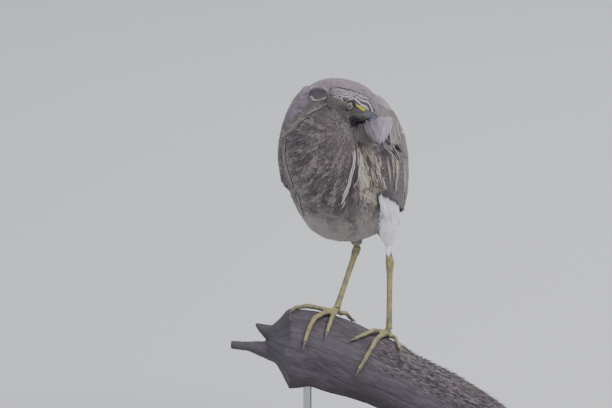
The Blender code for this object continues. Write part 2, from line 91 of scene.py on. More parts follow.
def ramp(x, low, high):
    """0 below low, 1 above high and smooth between them; the other way round where low is above high."""
    t = np.clip((x - low) / (high - low), 0, 1)
    return t * t * (3 - 2 * t)


def mix(a, b, t):
    return a + (b - a) * t


def colour_mix(a, b, t):
    return np.asarray(a) + (np.asarray(b) - np.asarray(a)) * np.asarray(t)[..., None]


def band(x, start, full, fading, end):
    """0 outside start and end, and 1 from full to fading."""
    return ramp(x, start, full) * ramp(x, end, fading)


def bump_at(x, centre, width):
    return np.exp(-(((x - centre) / width) ** 2))


def dot(points, axis):
    return np.sum(points * axis, axis=-1)


def read(items, name, width, kind=np.float32):
    """What Blender keeps under name for each of the items, in rows of width numbers."""
    values = np.empty(len(items) * width, kind)
    items.foreach_get(name, values)
    return values.reshape(-1, width)


def mesh_points(mesh):
    return read(mesh.vertices, "co", 3).astype(float)


def mesh_normals(mesh):
    return read(mesh.vertex_normals, "vector", 3).astype(float)


def mesh_triangles(mesh, kind="vertices"):
    mesh.calc_loop_triangles()
    return read(mesh.loop_triangles, kind, 3, np.int32)


def mesh_edges(mesh):
    return read(mesh.edges, "vertices", 2, np.int32)


def set_points(mesh, points):
    mesh.vertices.foreach_set("co", np.asarray(points, np.float32).ravel())
    mesh.update()


def mesh_from(shape, name="shape"):
    """A new mesh of what a bmesh holds; the bmesh is freed."""
    mesh = bpy.data.meshes.new(name)
    shape.to_mesh(mesh)
    shape.free()
    return mesh


def merged(meshes, name="merged"):
    shape = bmesh.new()
    for mesh in meshes:
        shape.from_mesh(mesh)
    return mesh_from(shape, name)


def add_object(name, mesh, material=None):
    obj = bpy.data.objects.new(name, mesh)
    bpy.context.scene.collection.objects.link(obj)
    if material:
        mesh.materials.clear()
        mesh.materials.append(material)
    return obj


def add_piece(name, mesh, material, slot, *replaced):
    """A piece on the still model's one body, shown in place of the replaced nodes."""
    piece = add_object(name, mesh, material)
    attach(piece, "root")
    if replaced:
        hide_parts(*replaced)


def node_centre(name):
    low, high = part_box(name)
    return np.array((low + high) / 2)


def node_points(name):
    return mesh_points(NODES[name].data)


def swollen_node(name, swell):
    """A welded copy of a CAD node, pushed out by swell."""
    shape = bmesh.new()
    shape.from_mesh(NODES[name].data)
    bmesh.ops.remove_doubles(shape, verts=shape.verts, dist=WELD)
    shape.normal_update()
    moves = [vertex.normal * min(vertex.calc_shell_factor(), 2) * swell for vertex in shape.verts]
    for vertex, move in zip(shape.verts, moves):
        vertex.co += move
    return mesh_from(shape)


class Net:
    """Neighbour averages over a mesh's vertices."""

    def __init__(self, mesh):
        self.edges = mesh_edges(mesh)
        self.count = len(mesh.vertices)
        self.degree = np.bincount(self.edges.ravel(), minlength=self.count).astype(float)

    def average(self, values):
        a, b = self.edges.T
        columns = values.reshape(self.count, -1).T
        total = [np.bincount(a, v[b], self.count) + np.bincount(b, v[a], self.count) for v in columns]
        return (np.stack(total, axis=1) / self.degree[:, None]).reshape(values.shape)

    def soften(self, values, passes, share=0.5):
        for _ in range(passes):
            values = mix(values, self.average(values), share)
        return values


def smooth_copy(names, swell, voxel, passes):
    """One even, fine mesh around CAD nodes: swollen so that their gaps close, smoothed and shrunk back."""
    obj = add_object("voxels", merged([swollen_node(name, swell) for name in names]))
    modifier = obj.modifiers.new("voxels", "REMESH")
    modifier.mode = "VOXEL"
    modifier.voxel_size = voxel
    mesh = bpy.data.meshes.new_from_object(obj.evaluated_get(bpy.context.evaluated_depsgraph_get()))
    bpy.data.objects.remove(obj)
    net = Net(mesh)
    points = mesh_points(mesh)
    for share in SMOOTHING * passes:
        points = mix(points, net.average(points), share)
    set_points(mesh, points)
    set_points(mesh, points - mesh_normals(mesh) * swell)
    mesh.shade_smooth()
    return mesh, net


# ---- directions of the bird

LEFT = unit((node_centre("wing_left") - node_centre("wing_right")) * [1, 1, 0])
SIDES = {"left": LEFT, "right": -LEFT}
FORWARD = np.cross(LEFT, UP)
TRUNK_PITCH = math.radians(50)
DORSAL = UP * math.cos(TRUNK_PITCH) - FORWARD * math.sin(TRUNK_PITCH)
TRUNK_CENTRE = node_centre("trunk")

BILL_DROOP = math.radians(9)
EYES = {"left": node_centre("eye_left"), "right": node_centre("eye_right")}
HEAD_LEFT = unit(EYES["left"] - EYES["right"])


def bill_ends():
    """The middle of the bill's base and its tip."""
    points = np.vstack([node_points("bill_upper"), node_points("bill_lower")])
    away = np.linalg.norm(points - (EYES["left"] + EYES["right"]) / 2, axis=1)
    tip = points[away.argmax()]
    axis = unit(tip - points[away < away.min() + 4 * MM].mean(0))
    along = dot(points, axis)
    return points[along < along.min() + 2 * MM].mean(0), tip


BILL_BASE, BILL_TIP = bill_ends()
BILL_DIRECTION = unit(BILL_TIP - BILL_BASE)
BILL_LENGTH = np.linalg.norm(BILL_TIP - BILL_BASE)
BILL_UP = unit(np.cross(BILL_DIRECTION, HEAD_LEFT))
HEAD_FORWARD = BILL_DIRECTION * math.cos(BILL_DROOP) + BILL_UP * math.sin(BILL_DROOP)
HEAD_UP = np.cross(HEAD_FORWARD, HEAD_LEFT)
EYE_RADIUS = (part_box("eye_left")[1].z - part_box("eye_left")[0].z) / 2


def head_coordinates(points):
    """How far points are behind the bill's base, to its left and above it, in mm."""
    offset = (points - BILL_BASE) / MM
    return -dot(offset, HEAD_FORWARD), dot(offset, HEAD_LEFT), dot(offset, HEAD_UP)


EYE_BACK, _, EYE_UP = (float(v) for v in head_coordinates(EYES["left"]))


# ---- camera, light and floor

# The photograph's view: from the front, a little from above, through a long lens. Lengths here are in metres.
CAMERA_AIM = Vector((-0.0534, 0.0, 0.2659))
CAMERA_ELEVATION = math.radians(14)
CAMERA_DISTANCE = 13.0
WIDTH_AT_AIM = 0.553
SENSOR_WIDTH = 36
SKY = (0.80, 0.84, 0.92, 1)
SKY_STRENGTH = 0.70
FLOOR_HALF_WIDTH = 14
FLOOR_GREY = (0.60, 0.61, 0.615, 1)
LAMP_AIM = Vector((0, 0, 0.25))
# Each lamp's place, size, watts and colour.
LAMPS = {
    "key": ((1.15, -1.0, 2.2), 1.5, 52, (1.0, 0.97, 0.95)),
    "fill": ((-1.7, -1.5, 1.2), 1.8, 11, (0.94, 0.96, 1.0)),
    "rim": ((0.5, 1.8, 1.9), 1.4, 25, (1.0, 0.98, 0.96)),
}


def add_aimed(name, data, place, way):
    """A camera or lamp at place that points along way."""
    obj = add_object(name, data)
    obj.location = place
    obj.rotation_mode = "QUATERNION"
    obj.rotation_quaternion = way.to_track_quat("-Z", "Y")
    return obj


def add_camera():
    data = bpy.data.cameras.new("camera")
    data.sensor_width = SENSOR_WIDTH
    data.lens = data.sensor_width * CAMERA_DISTANCE / WIDTH_AT_AIM
    data.clip_start, data.clip_end = 0.1, 60
    back = Vector((0, -math.cos(CAMERA_ELEVATION), math.sin(CAMERA_ELEVATION)))
    bpy.context.scene.camera = add_aimed("camera", data, CAMERA_AIM + back * CAMERA_DISTANCE, -back)


def add_studio():
    world = bpy.data.worlds.new("studio")
    world.use_nodes = True
    background = world.node_tree.nodes["Background"].inputs
    background["Color"].default_value = SKY
    background["Strength"].default_value = SKY_STRENGTH
    bpy.context.scene.world = world
    for name, (place, size, watts, colour) in LAMPS.items():
        data = bpy.data.lights.new(name, "AREA")
        data.shape, data.size, data.energy, data.color = "DISK", size, watts, colour
        add_aimed(name, data, place, LAMP_AIM - Vector(place))


def add_floor():
    shape = bmesh.new()
    bmesh.ops.create_grid(shape, x_segments=1, y_segments=1, size=FLOOR_HALF_WIDTH)
    add_object("floor", mesh_from(shape, "floor"), Tree("floor", 0.85).finish(FLOOR_GREY))


# ---- materials


class Tree:
    """Short names for the nodes that materials use. Values are numbers, colours or other nodes' outputs."""

    def __init__(self, name, roughness):
        self.made = bpy.data.materials.new(name)
        self.made.use_nodes = True
        self.tree = self.made.node_tree
        self.shader = self.tree.nodes["Principled BSDF"].inputs
        self.plug(self.shader["Roughness"], roughness)

    def plug(self, socket, value):
        if isinstance(value, bpy.types.NodeSocket):
            self.tree.links.new(value, socket)
        else:
            socket.default_value = value

    def add(self, kind, inputs=(), **settings):
        """The outputs of a new node with these settings, and with these inputs, by place or by name."""
        node = self.tree.nodes.new(f"ShaderNode{kind}")
        for name, value in settings.items():
            setattr(node, name, value)
        for name, value in dict(inputs).items():
            self.plug(node.inputs[name], value)
        return node.outputs

    def attribute(self, name, output="Fac"):
        return self.add("Attribute", attribute_name=name)[output]

    def parts(self, name):
        """The three numbers of a vector attribute."""
        return self.add("SeparateXYZ", {0: self.attribute(name, "Vector")})

    def vector(self, *numbers):
        return self.add("CombineXYZ", enumerate(numbers))[0]

    def math(self, operation, *values):
        return self.add("Math", enumerate(values), operation=operation)[0]

    def times(self, a, b):
        return self.math("MULTIPLY", a, b)

    def fit(self, value, factor, offset):
        return self.math("MULTIPLY_ADD", value, factor, offset)

    def ramp(self, value, low, high, bottom=0.0, top=1.0):
        inputs = {"Value": value, "From Min": low, "From Max": high, "To Min": bottom, "To Max": top}
        return self.add("MapRange", inputs, interpolation_type="SMOOTHSTEP")["Result"]

    def mix(self, a, b, factor):
        return self.add("Mix", {"Factor": factor, "A": a, "B": b}, data_type="RGBA")["Result"]

    def scaled(self, colour, factor):
        """colour times a number that may vary."""
        return self.add("VectorMath", {0: colour, "Scale": factor}, operation="SCALE")[0]

    def noise(self, vector, scale, detail=3.0, roughness=0.55):
        inputs = {"Vector": vector, "Scale": scale, "Detail": detail, "Roughness": roughness}
        return self.add("TexNoise", inputs)["Fac"]

    def place(self, scale=(1, 1, 1)):
        """The place on the object, stretched by scale."""
        return self.add("Mapping", {"Vector": self.add("TexCoord")["Object"], "Scale": scale})[0]

    def bump(self, height, strength, distance):
        made = self.add("Bump", {"Height": height, "Strength": strength, "Distance": distance})[0]
        self.plug(self.shader["Normal"], made)

    def finish(self, colour, **finish):
        """The material with this colour. Other inputs of the shader are named with _ for a space."""
        self.plug(self.shader["Base Color"], colour)
        for name, value in finish.items():
            self.plug(self.shader[name.replace("_", " ")], value)
        return self.made


def feather_material():
    """Web, shaft streak, pale fringe and fine barbs, all from the blade's own coordinates."""
    tree = Tree("feather", 0.72)
    across, along, seed = tree.parts("blade")
    streak_width, fringe, softness = tree.parts("pattern")
    web, streak = (tree.attribute(name, "Color") for name in ("web", "streak"))
    side = tree.math("ABSOLUTE", across)
    wander = tree.noise(tree.vector(tree.times(across, 1.6), tree.times(along, 3.0), seed), 2.3, 4.0)
    inner, outer = (tree.math(sign, streak_width, softness) for sign in ("SUBTRACT", "ADD"))
    wavy_side = tree.math("ADD", side, tree.fit(wander, 0.5, -0.25))
    colour = tree.mix(web, streak, tree.ramp(wavy_side, outer, inner))
    rim = tree.math("MAXIMUM", side, tree.ramp(along, 0.72, 1.0))
    colour = tree.mix(colour, streak, tree.times(tree.ramp(rim, 0.62, 0.92), fringe))
    slant = tree.fit(side, -9.0, tree.times(along, 34.0))
    barbs = tree.math("SINE", tree.times(slant, 6.283))
    shaft = tree.ramp(side, 0.10, 0.02)
    grain = tree.noise(tree.vector(tree.times(side, 2.0), slant, seed), 1.7, 2.0)
    light = tree.fit(barbs, 0.035, tree.fit(grain, 0.34, 0.83))
    light = tree.times(light, tree.ramp(along, 0.0, 0.45, 0.72, 1.0))
    tree.bump(tree.math("ADD", tree.times(barbs, 0.4), shaft), 0.25, 0.15 * MM)
    colour = tree.scaled(colour, light)
    return tree.finish(colour, Sheen_Weight=0.12, Sheen_Roughness=0.5, Specular_IOR_Level=0.25)


FEATHER = feather_material()


# ---- hull: the outside of the plumage

HULL_SWELL = 0.7 * MM
HULL_VOXEL = 1.5 * MM
BILL_REACH = 9 * MM
FLOW_PASSES = 24


def nearest_nodes(points, names):
    """For each point, the index in names of the CAD node nearest to it."""
    owner = [index for index, name in enumerate(names) for _ in mesh_triangles(NODES[name].data)]
    mesh = merged([NODES[name].data for name in names])
    tree = BVHTree.FromPolygons(mesh_points(mesh).tolist(), mesh_triangles(mesh).tolist())
    return np.array([owner[tree.find_nearest(p)[2]] for p in points.tolist()])


def walking_distance(net, points, sources):
    """The way over the surface from the nearest source to each vertex."""
    a, b = net.edges.T
    length = np.linalg.norm(points[a] - points[b], axis=1)
    distance, shorter = np.full(net.count, np.inf), np.full(net.count, np.inf)
    shorter[sources] = 0.0
    while (shorter < distance).any():
        distance = shorter.copy()
        np.minimum.at(shorter, a, distance[b] + length)
        np.minimum.at(shorter, b, distance[a] + length)
    return np.where(np.isfinite(distance), distance, distance[np.isfinite(distance)].max())


def gradient(points, triangles, values):
    """The direction at each vertex in which values grow fastest."""
    a, b, c = (points[triangles[:, k]] for k in range(3))
    fa, fb, fc = (values[triangles[:, k], None] for k in range(3))
    normal = np.cross(b - a, c - a)
    area = np.linalg.norm(normal, axis=1, keepdims=True)
    slope = np.cross(unit(normal), fa * (c - b) + fb * (a - c) + fc * (b - a))
    total = np.zeros_like(points)
    for k in range(3):
        np.add.at(total, triangles[:, k], slope * (area > 0))
    return unit(total)


class Surface:
    """A mesh with ways to ask for what it holds at the place nearest to a point."""

    def __init__(self, mesh, net):
        self.mesh, self.net = mesh, net
        self.points = mesh_points(mesh)
        self.normals = mesh_normals(mesh)
        self.triangles = mesh_triangles(mesh)
        self.tree = BVHTree.FromPolygons(self.points.tolist(), self.triangles.tolist())
        self.uv = np.zeros((len(self.triangles), 2))

    def nearest(self, points):
        """For each point: the nearest place on the surface, and the triangle there."""
        found = [self.tree.find_nearest(p) for p in points.tolist()]
        return np.array([f[0][:] for f in found]), np.array([f[2] for f in found])

    def at(self, values, triangle):
        return values[self.triangles[triangle]].mean(axis=1)

    def tangent(self, directions):
        return unit(directions - self.normals * dot(directions, self.normals)[:, None])


class Hull(Surface):
    """The plumage's outside with its regions, the feathers' flow and an unwrap of its shape."""

    def __init__(self):
        super().__init__(*smooth_copy(PLUMAGE, HULL_SWELL, HULL_VOXEL, 5))
        self.uv = unwrapped(self.mesh.copy())
        self.region = nearest_nodes(self.points, PLUMAGE)
        near_bill = np.linalg.norm(self.points - BILL_BASE, axis=1) < BILL_REACH
        sources = np.nonzero(near_bill & self.within("head"))[0]
        self.way = self.net.soften(walking_distance(self.net, self.points, sources), 6)
        self.flow = self.lie_of_feathers()

    def within(self, name):
        return self.region == PLUMAGE.index(name)

    def lie_of_feathers(self):
        flow = gradient(self.points, self.triangles, self.way)
        for side in SIDES:
            flow[self.within(f"wing_{side}")] = rear_axis(f"wing_{side}")
            flow[self.within(f"thigh_{side}")] = -UP
        flow[self.within("tail")] = rear_axis("tail")
        for _ in range(FLOW_PASSES):
            flow = self.tangent(mix(flow, self.net.average(flow), 0.6))
        return flow


# How far from a node's front and rear the points lie that its ends are judged by.
END_REACH = {"wing": (12 * MM, 6 * MM), "tail": (8 * MM, 8 * MM)}


def rear_axis(name):
    """From the front of a closed wing or the tail to its rear end."""
    points = node_points(name)
    ahead = dot(points, FORWARD)
    front, rear = END_REACH[name.split("_")[0]]
    return unit(points[ahead < ahead.min() + rear].mean(0) - points[ahead > ahead.max() - front].mean(0))


# ---- feathers

# A blade's rings, as shares of its length, and its half width there for a round and for a pointed feather.
RINGS = np.array([0.0, 0.16, 0.36, 0.58, 0.78, 0.92, 1.0])
ROUND_WIDTH = np.array([0.30, 0.72, 0.95, 1.0, 0.88, 0.60, 0.0])
POINTED_WIDTH = np.array([0.30, 0.80, 1.0, 0.88, 0.58, 0.27, 0.0])
SMALL_ACROSS = np.array([-1.0, 0.0, 1.0])
WIDE_ACROSS = np.linspace(-1, 1, 7)
BLADE_THICKNESS = 0.22 * MM
UV_PATCH = 0.003
UV_MARGIN = 0.004
SOFTNESS_OF_SHADE = 0.3


class Feathers:
    """Feathers of one batch, with one value of each kind for every feather. Lengths are in metres."""

    USUAL = {"depth": 0.0, "lift": 0.2 * MM, "point": 0.1, "camber": 0.0, "cup": 0.0, "steady": 2.0}
    PATTERN = {"streak_width": 0.1, "fringe": 0.1, "softness": 0.12}

    def __init__(self, surface, root, direction, web, streak, shade=1.0, **values):
        self.surface, self.root, self.direction = surface, root, direction
        self.count = len(root)
        self.uv = surface.uv[surface.nearest(root)[1]]
        self.seed = draw.random(self.count) * 100
        for name, value in {**self.USUAL, **self.PATTERN, **values}.items():
            setattr(self, name, np.broadcast_to(value, self.count).astype(float))
        every = np.ones((self.count, 3))
        self.web, self.streak = web * every * shade, streak * every * shade

    def picked(self, chosen):
        some = copy.copy(self)
        for name, value in vars(self).items():
            if isinstance(value, np.ndarray):
                setattr(some, name, value[chosen])
        some.count = len(some.root)
        return some

    def draped_rings(self):
        """Centres, normals and sideways directions of every ring, along the flow over the surface."""
        surface, heading = self.surface, self.direction
        centres, normals, sides = (np.empty((self.count, len(RINGS), 3)) for _ in range(3))
        place, triangle = surface.nearest(self.root)
        for k in range(len(RINGS)):
            if k:
                step = (RINGS[k] - RINGS[k - 1]) * self.length
                place, triangle = surface.nearest(place + heading * step[:, None])
                heading = unit(heading * self.steady[:, None] + surface.at(surface.flow, triangle))
            normal = unit(surface.at(surface.normals, triangle))
            heading = unit(heading - normal * dot(heading, normal)[:, None])
            centres[:, k], normals[:, k], sides[:, k] = place, normal, np.cross(normal, heading)
        return centres, normals, sides

    def blade_points(self, rings, across, draped):
        """The corners of every ring: the upper side from left to right, then the under side back again."""
        centres, normals, sides = rings
        names = ("point", "half_width", "depth", "lift", "camber", "cup")
        point, half_width, depth, lift, camber, cup = (getattr(self, name)[:, None, None] for name in names)
        share = mix(ROUND_WIDTH[None, :, None], POINTED_WIDTH[None, :, None], point)
        half = share * half_width
        height = mix(-depth, lift, RINGS[None, :, None] ** 0.9)
        upper = []
        for a in across:
            place, normal = centres + sides * half * a, normals
            if draped and a:
                found, triangle = self.surface.nearest(place.reshape(-1, 3))
                there = unit(self.surface.at(self.surface.normals, triangle)).reshape(normals.shape)
                # Where the surface folds away, the edge keeps to the shaft's own plane.
                sound = dot(there, normals)[..., None] > 0.3
                place = np.where(sound, found.reshape(place.shape), place)
                normal = np.where(sound, there, normals)
            arch = camber * (1 - a * a) + cup * a * a
            upper.append(place + normal * (height + share * arch))
        thick = BLADE_THICKNESS * np.linspace(1.6, 0.5, len(RINGS))[None, :, None]
        under = [place - normals * thick for place in upper[-2:0:-1]]
        return np.stack(upper + under, axis=2)


def free_rings(curves, facing):
    """Rings along curves, which are rows of root, middle and tip, with their upper sides to facing."""
    root, middle, tip = (curves[:, k, None] for k in range(3))
    t = RINGS[None, :, None]
    pull = 2 * middle - (root + tip) / 2
    centres = root * (1 - t) ** 2 + pull * 2 * t * (1 - t) + tip * t**2
    tangents = unit((pull - root) * (1 - t) + (tip - pull) * t)
    sides = unit(np.cross(np.broadcast_to(facing, tangents.shape), tangents))
    return centres, np.cross(tangents, sides), sides


def blade_faces(count, across):
    """The corners of the faces of count blades: quads along the sides, the root's cap and the tip's fan."""
    around, rings = 2 * len(across) - 2, len(RINGS)
    ring = [(i, (i + 1) % around) for i in range(around)]
    starts = np.arange(rings - 2) * around
    quads = [(k + j, k + i, k + around + i, k + around + j) for k in starts for i, j in ring]
    last, tip = around * (rings - 2), around * (rings - 1)
    fans = [(last + j, last + i, tip) for i, j in ring]
    step = (tip + 1) * np.arange(count)[:, None, None]
    faces = [np.array(f)[None] + step for f in (quads, [range(around)], fans)]
    sizes = [np.tile([f.shape[2]] * f.shape[1], count) for f in faces]
    upper = np.arange(around) < len(across) - 1
    facing_up = [np.tile(up, count) for up in (np.tile(upper, rings - 2), [True], upper)]
    return (np.concatenate(rows) for rows in ([f.reshape(-1) for f in faces], sizes, facing_up))


def triangles_each(across):
    around = 2 * len(across) - 2
    return (len(RINGS) - 2) * around * 2 + 2 * around - 2


def faces_mesh(name, points, corners, sizes):
    mesh = bpy.data.meshes.new(name)
    mesh.vertices.add(len(points))
    mesh.vertices.foreach_set("co", points.astype(np.float32).ravel())
    mesh.loops.add(len(corners))
    mesh.loops.foreach_set("vertex_index", corners.astype(np.int32))
    starts = np.concatenate([[0], np.cumsum(sizes)[:-1]]).astype(np.int32)
    mesh.polygons.add(len(sizes))
    mesh.polygons.foreach_set("loop_start", starts)
    mesh.update(calc_edges=True)
    mesh.shade_smooth()
    return mesh


def store(mesh, name, values):
    """Keeps a number, a vector or a colour for each vertex, by how many columns values has."""
    values = np.asarray(values, np.float32)
    kinds = {1: ("FLOAT", "value"), 3: ("FLOAT_VECTOR", "vector"), 4: ("FLOAT_COLOR", "color")}
    kind, field_name = kinds[values.size // len(values)]
    mesh.attributes.new(name, kind, "POINT").data.foreach_set(field_name, values.ravel())


def store_colour(mesh, name, colours):
    store(mesh, name, np.concatenate([colours, np.ones((len(colours), 1))], axis=1))


def feather_piece(name, feathers, slot, curves=None, facing=None):
    """One coat piece: the blades as one mesh with their attributes and OFBake map, draped or free."""
    draped = curves is None
    across = SMALL_ACROSS if draped else WIDE_ACROSS
    rings = feathers.draped_rings() if draped else free_rings(curves, facing)
    blade = feathers.blade_points(rings, across, draped)
    count, tips = feathers.count, blade[:, -1, len(across) // 2]
    points = np.concatenate([blade[:, :-1].reshape(count, -1, 3), tips[:, None]], axis=1)
    each = points.shape[1]
    corners, sizes, up = blade_faces(count, across)
    mesh = faces_mesh(name, points.reshape(-1, 3), corners, sizes)
    ring_across = np.concatenate([across, across[-2:0:-1]])
    across_all = np.append(np.tile(ring_across, len(RINGS) - 1), 0.0)
    along_all = np.append(np.repeat(RINGS[:-1], len(ring_across)), 1.0)
    places = (np.tile(across_all, count), np.tile(along_all, count))
    own = np.column_stack([*places, np.repeat(feathers.seed, each)])
    store(mesh, "blade", own)
    pattern = np.column_stack([getattr(feathers, kind) for kind in Feathers.PATTERN])
    store(mesh, "pattern", np.repeat(pattern, each, axis=0))
    store_colour(mesh, "web", np.repeat(feathers.web, each, axis=0))
    store_colour(mesh, "streak", np.repeat(feathers.streak, each, axis=0))
    low, high = feathers.uv.min(0), feathers.uv.max(0)
    centre = UV_MARGIN + (1 - 2 * UV_MARGIN) * (feathers.uv - low) / np.maximum(high - low, 1e-6)
    place = np.repeat(centre, each, axis=0) + UV_PATCH * np.column_stack([own[:, 0] / 2, own[:, 1] - 0.5])
    layer = mesh.uv_layers.new(name="OFBake")
    layer.data.foreach_set("uv", place[corners].astype(np.float32).ravel())
    if draped:
        # The shading follows the body under the feather, with only a little of the feather's own roundness.
        ring = np.minimum(np.arange(each) // len(ring_across), len(RINGS) - 1)
        normal = rings[1][:, ring] + rings[2][:, ring] * across_all[None, :, None] * SOFTNESS_OF_SHADE
        normal = unit(normal).reshape(-1, 3)[corners] * np.where(np.repeat(up, sizes), 1, -1)[:, None]
        mesh.normals_split_custom_set(normal.tolist())
    else:
        rim = (np.abs(own[:, 0]) > 0.99)[mesh_edges(mesh)]
        sharp = mesh.attributes.new("sharp_edge", "BOOLEAN", "EDGE")
        sharp.data.foreach_set("value", rim.all(axis=1))
    add_piece(name, mesh, FEATHER, slot)


def unwrapped(mesh):
    """The middle of every triangle of mesh on an unwrap of its own shape."""
    obj = add_object("unwrap", mesh)
    bpy.context.view_layer.objects.active = obj
    obj.select_set(True)
    bpy.ops.object.mode_set(mode="EDIT")
    bpy.ops.mesh.select_all(action="SELECT")
    bpy.ops.uv.smart_project(angle_limit=math.radians(75), island_margin=0.002)
    bpy.ops.object.mode_set(mode="OBJECT")
    uv = read(mesh.uv_layers.active.data, "uv", 2)
    loops = mesh_triangles(mesh, "loops")
    bpy.data.objects.remove(obj)
    return uv[loops].mean(axis=1)


CELL = 3.0 * MM
TRIES_EACH = 7


def scattered(surface, spacing, wanted):
    """Places on the surface that keep their own spacing from each other, and the triangle of each."""
    a, b, c = (surface.points[surface.triangles[:, k]] for k in range(3))
    area = np.linalg.norm(np.cross(b - a, c - a), axis=1) / 2
    gap = surface.at(spacing, np.arange(len(area)))
    weight = area * (surface.at(wanted.astype(float), np.arange(len(area))) > 0.5) / gap**2
    tries = int(weight.sum() * TRIES_EACH)
    triangle = draw.choice(len(area), size=tries, p=weight / weight.sum())
    u, v = draw.random((2, tries, 1))
    fold = u + v > 1
    u, v = np.where(fold, 1 - u, u), np.where(fold, 1 - v, v)
    places = a[triangle] * (1 - u - v) + b[triangle] * u + c[triangle] * v
    grid, kept = {}, []
    for index, (place, reach) in enumerate(zip(places.tolist(), gap[triangle].tolist())):
        x, y, z = home = tuple(int(v // CELL) for v in place)
        span = range(-math.ceil(reach / CELL), math.ceil(reach / CELL) + 1)
        near = (grid.get((x + i, y + j, z + k), ()) for i in span for j in span for k in span)
        if all(math.dist(other, place) >= reach for others in near for other in others):
            grid.setdefault(home, []).append(place)
            kept.append(index)
    return places[kept], triangle[kept]


# ---- plumage: sizes and markings

MANTLE = (0.184, 0.145, 0.177)
NECK_DARK = (0.056, 0.046, 0.053)
NECK_BROWN = (0.120, 0.100, 0.108)
NECK_BUFF = (0.235, 0.200, 0.180)
PLUME_BUFF = (0.42, 0.36, 0.31)
CREAM = (0.375, 0.315, 0.255)
OFF_WHITE = (0.49, 0.453, 0.445)
COVERT = (0.155, 0.128, 0.138)
SHOULDER = (0.250, 0.212, 0.222)
BELLY = (0.290, 0.255, 0.240)
WHITE = (0.90, 0.89, 0.97)
# White coverts painted as white in shade, a lilac grey.
SHADED_LILAC_WHITE = (0.37, 0.335, 0.415)
# Painted shade: the dark under the mouth's corner and deep in the hollow behind the head.
HOLLOW_SHADE_DARK = (0.075, 0.064, 0.088)
# Painted light: a lighter brown that offsets the shade of the hollow between throat and shoulder.
HOLLOW_LIT_BROWN = (0.30, 0.265, 0.27)
CROWN_DARK = (0.050, 0.042, 0.050)
CROWN_PALE = (0.58, 0.54, 0.59)
CHIN_GREY = (0.150, 0.132, 0.136)
STREAK_GREY = (0.300, 0.280, 0.270)
BLOTCH = (0.105, 0.086, 0.090)


# Length, half width and depth of the coat in mm.
TRUNK_SIZE, BELLY_SIZE, TAIL_SIZE = (19.0, 4.0, 3.2), (17.0, 2.9, 3.2), (14.0, 3.0, 0.6)
THIGH_SIZE, WING_SIZE = (9.0, 1.6, 1.5), (15.0, 3.8, 1.8)
WING_FRONT_SIZE, WING_INNER_SIZE = (10.0, 2.2, 1.8), (6.0, 2.4, 0.8)
WING_FRONT = 30 * MM
# The same at two ways from the bill, between which it grows: the node, the first size and way, the last ones.
GROWING = (
    ("head", (2.2, 0.5, 0.5), 4, (7.0, 0.72, 1.8), 42),
    ("neck", (8.0, 1.25, 1.8), 22, (17.0, 2.7, 3.2), 85),
)
# The coat is at most this share of the body's thickness deep, and at least so many metres.
DEPTH_SHARE = 0.42
LEAST_DEPTH = 0.2 * MM


def plumage_sizes(hull):
    """Length, half width and depth of the coat at each vertex, in metres."""
    sizes = np.tile(TRUNK_SIZE, (len(hull.points), 1))
    for name, small, near, large, far in GROWING:
        here = hull.within(name)
        sizes[here] = mix(np.array(small), np.array(large), ramp(hull.way[here, None] / MM, near, far))
    sizes[hull.within("trunk") & (dot(hull.points - TRUNK_CENTRE, DORSAL) < 0)] = BELLY_SIZE
    ahead = dot(hull.points, FORWARD)
    for side, out in SIDES.items():
        wing = hull.within(f"wing_{side}")
        sizes[wing] = WING_SIZE
        sizes[wing & (ahead > ahead[wing].max() - WING_FRONT)] = WING_FRONT_SIZE
        sizes[wing & (dot(hull.normals, out) < 0.1)] = WING_INNER_SIZE
        sizes[hull.within(f"thigh_{side}")] = THIGH_SIZE
    sizes[hull.within("tail")] = TAIL_SIZE
    return hull.net.soften(sizes, 8) * MM


FAR_SIDE = 50 * MM


def thickness_below(hull):
    """How thick the body is under each vertex."""
    found = []
    for point, normal in zip(hull.points.tolist(), hull.normals.tolist()):
        inward = -Vector(normal)
        hit = hull.tree.ray_cast(Vector(point) + inward * 0.3 * MM, inward, FAR_SIDE)
        found.append(hit[3] if hit[0] else FAR_SIDE)
    return hull.net.soften(np.array(found), 3)


def field(places):
    """Smooth noise about one unit across at each place."""
    return np.array([noise.noise(place) for place in places.tolist()])


THROAT = np.array([-10.0, 0.0, 352.0]) * MM
COLLAR = np.array([(-38, -57, 376), (-48, -55, 366), (-59, -53, 356), (-69, -42, 345)])
COLLAR_DROP = [(-71, -46, 340), (-72.5, -47, 328), (-70, -47, 312), (-66, -42, 294), (-59, -22, 270)]
FLANK_TUFT = np.array([21.0, -8.0, 264.0]) * MM
# The smooth shaded place between throat and shoulder, painted lighter, the pale chin and painted shade under
# the mouth's corner.
HOLLOWS = (
    ((3, -38, 345), 12, HOLLOW_LIT_BROWN),
    ((-3, -38, 350), 8, HOLLOW_LIT_BROWN),
    ((-14, -56, 352), 5, (0.20, 0.185, 0.185)),
    ((-9, -38, 354), 6, HOLLOW_SHADE_DARK),
    ((-8.5, -50, 357), 5, HOLLOW_SHADE_DARK),
)

# Lines for np.interp in mm: the wing's front edge and the foreneck's middle, as x at heights z, then the
# crown's lower edge and what its lines turn about, as heights on the head at ways back from the bill.
WING_EDGE = ([285, 292, 300, 312, 325, 337], [17.0, 17.0, 15.0, 12.0, 10.0, -3.0])
FORENECK_LINE = ([286, 300, 318, 336], [6.0, 5.0, 3.5, -4.0])
CROWN_AXIS = ([24, 34, 44], [-4, -9, -20])
CROWN_EDGE = ([0, 20, 28, 38, 44], [3.0, 6.5, 6.0, -4.0, -14.0])

# Rays run out from the throat, so many to a radian and so many mm long. The other two are sizes in mm.
RAYS, RAY_LENGTH, FINE_RAYS, FINE_RAY_LENGTH = 13, 26, 30, 17
BLOTCH_SIZE, BROAD_SIZE = 8, 24
# How close the crown's lines are, as an angle's factor in their wave, and how far they waver.
CROWN_LINES, CROWN_WAVER = 36, 1.6


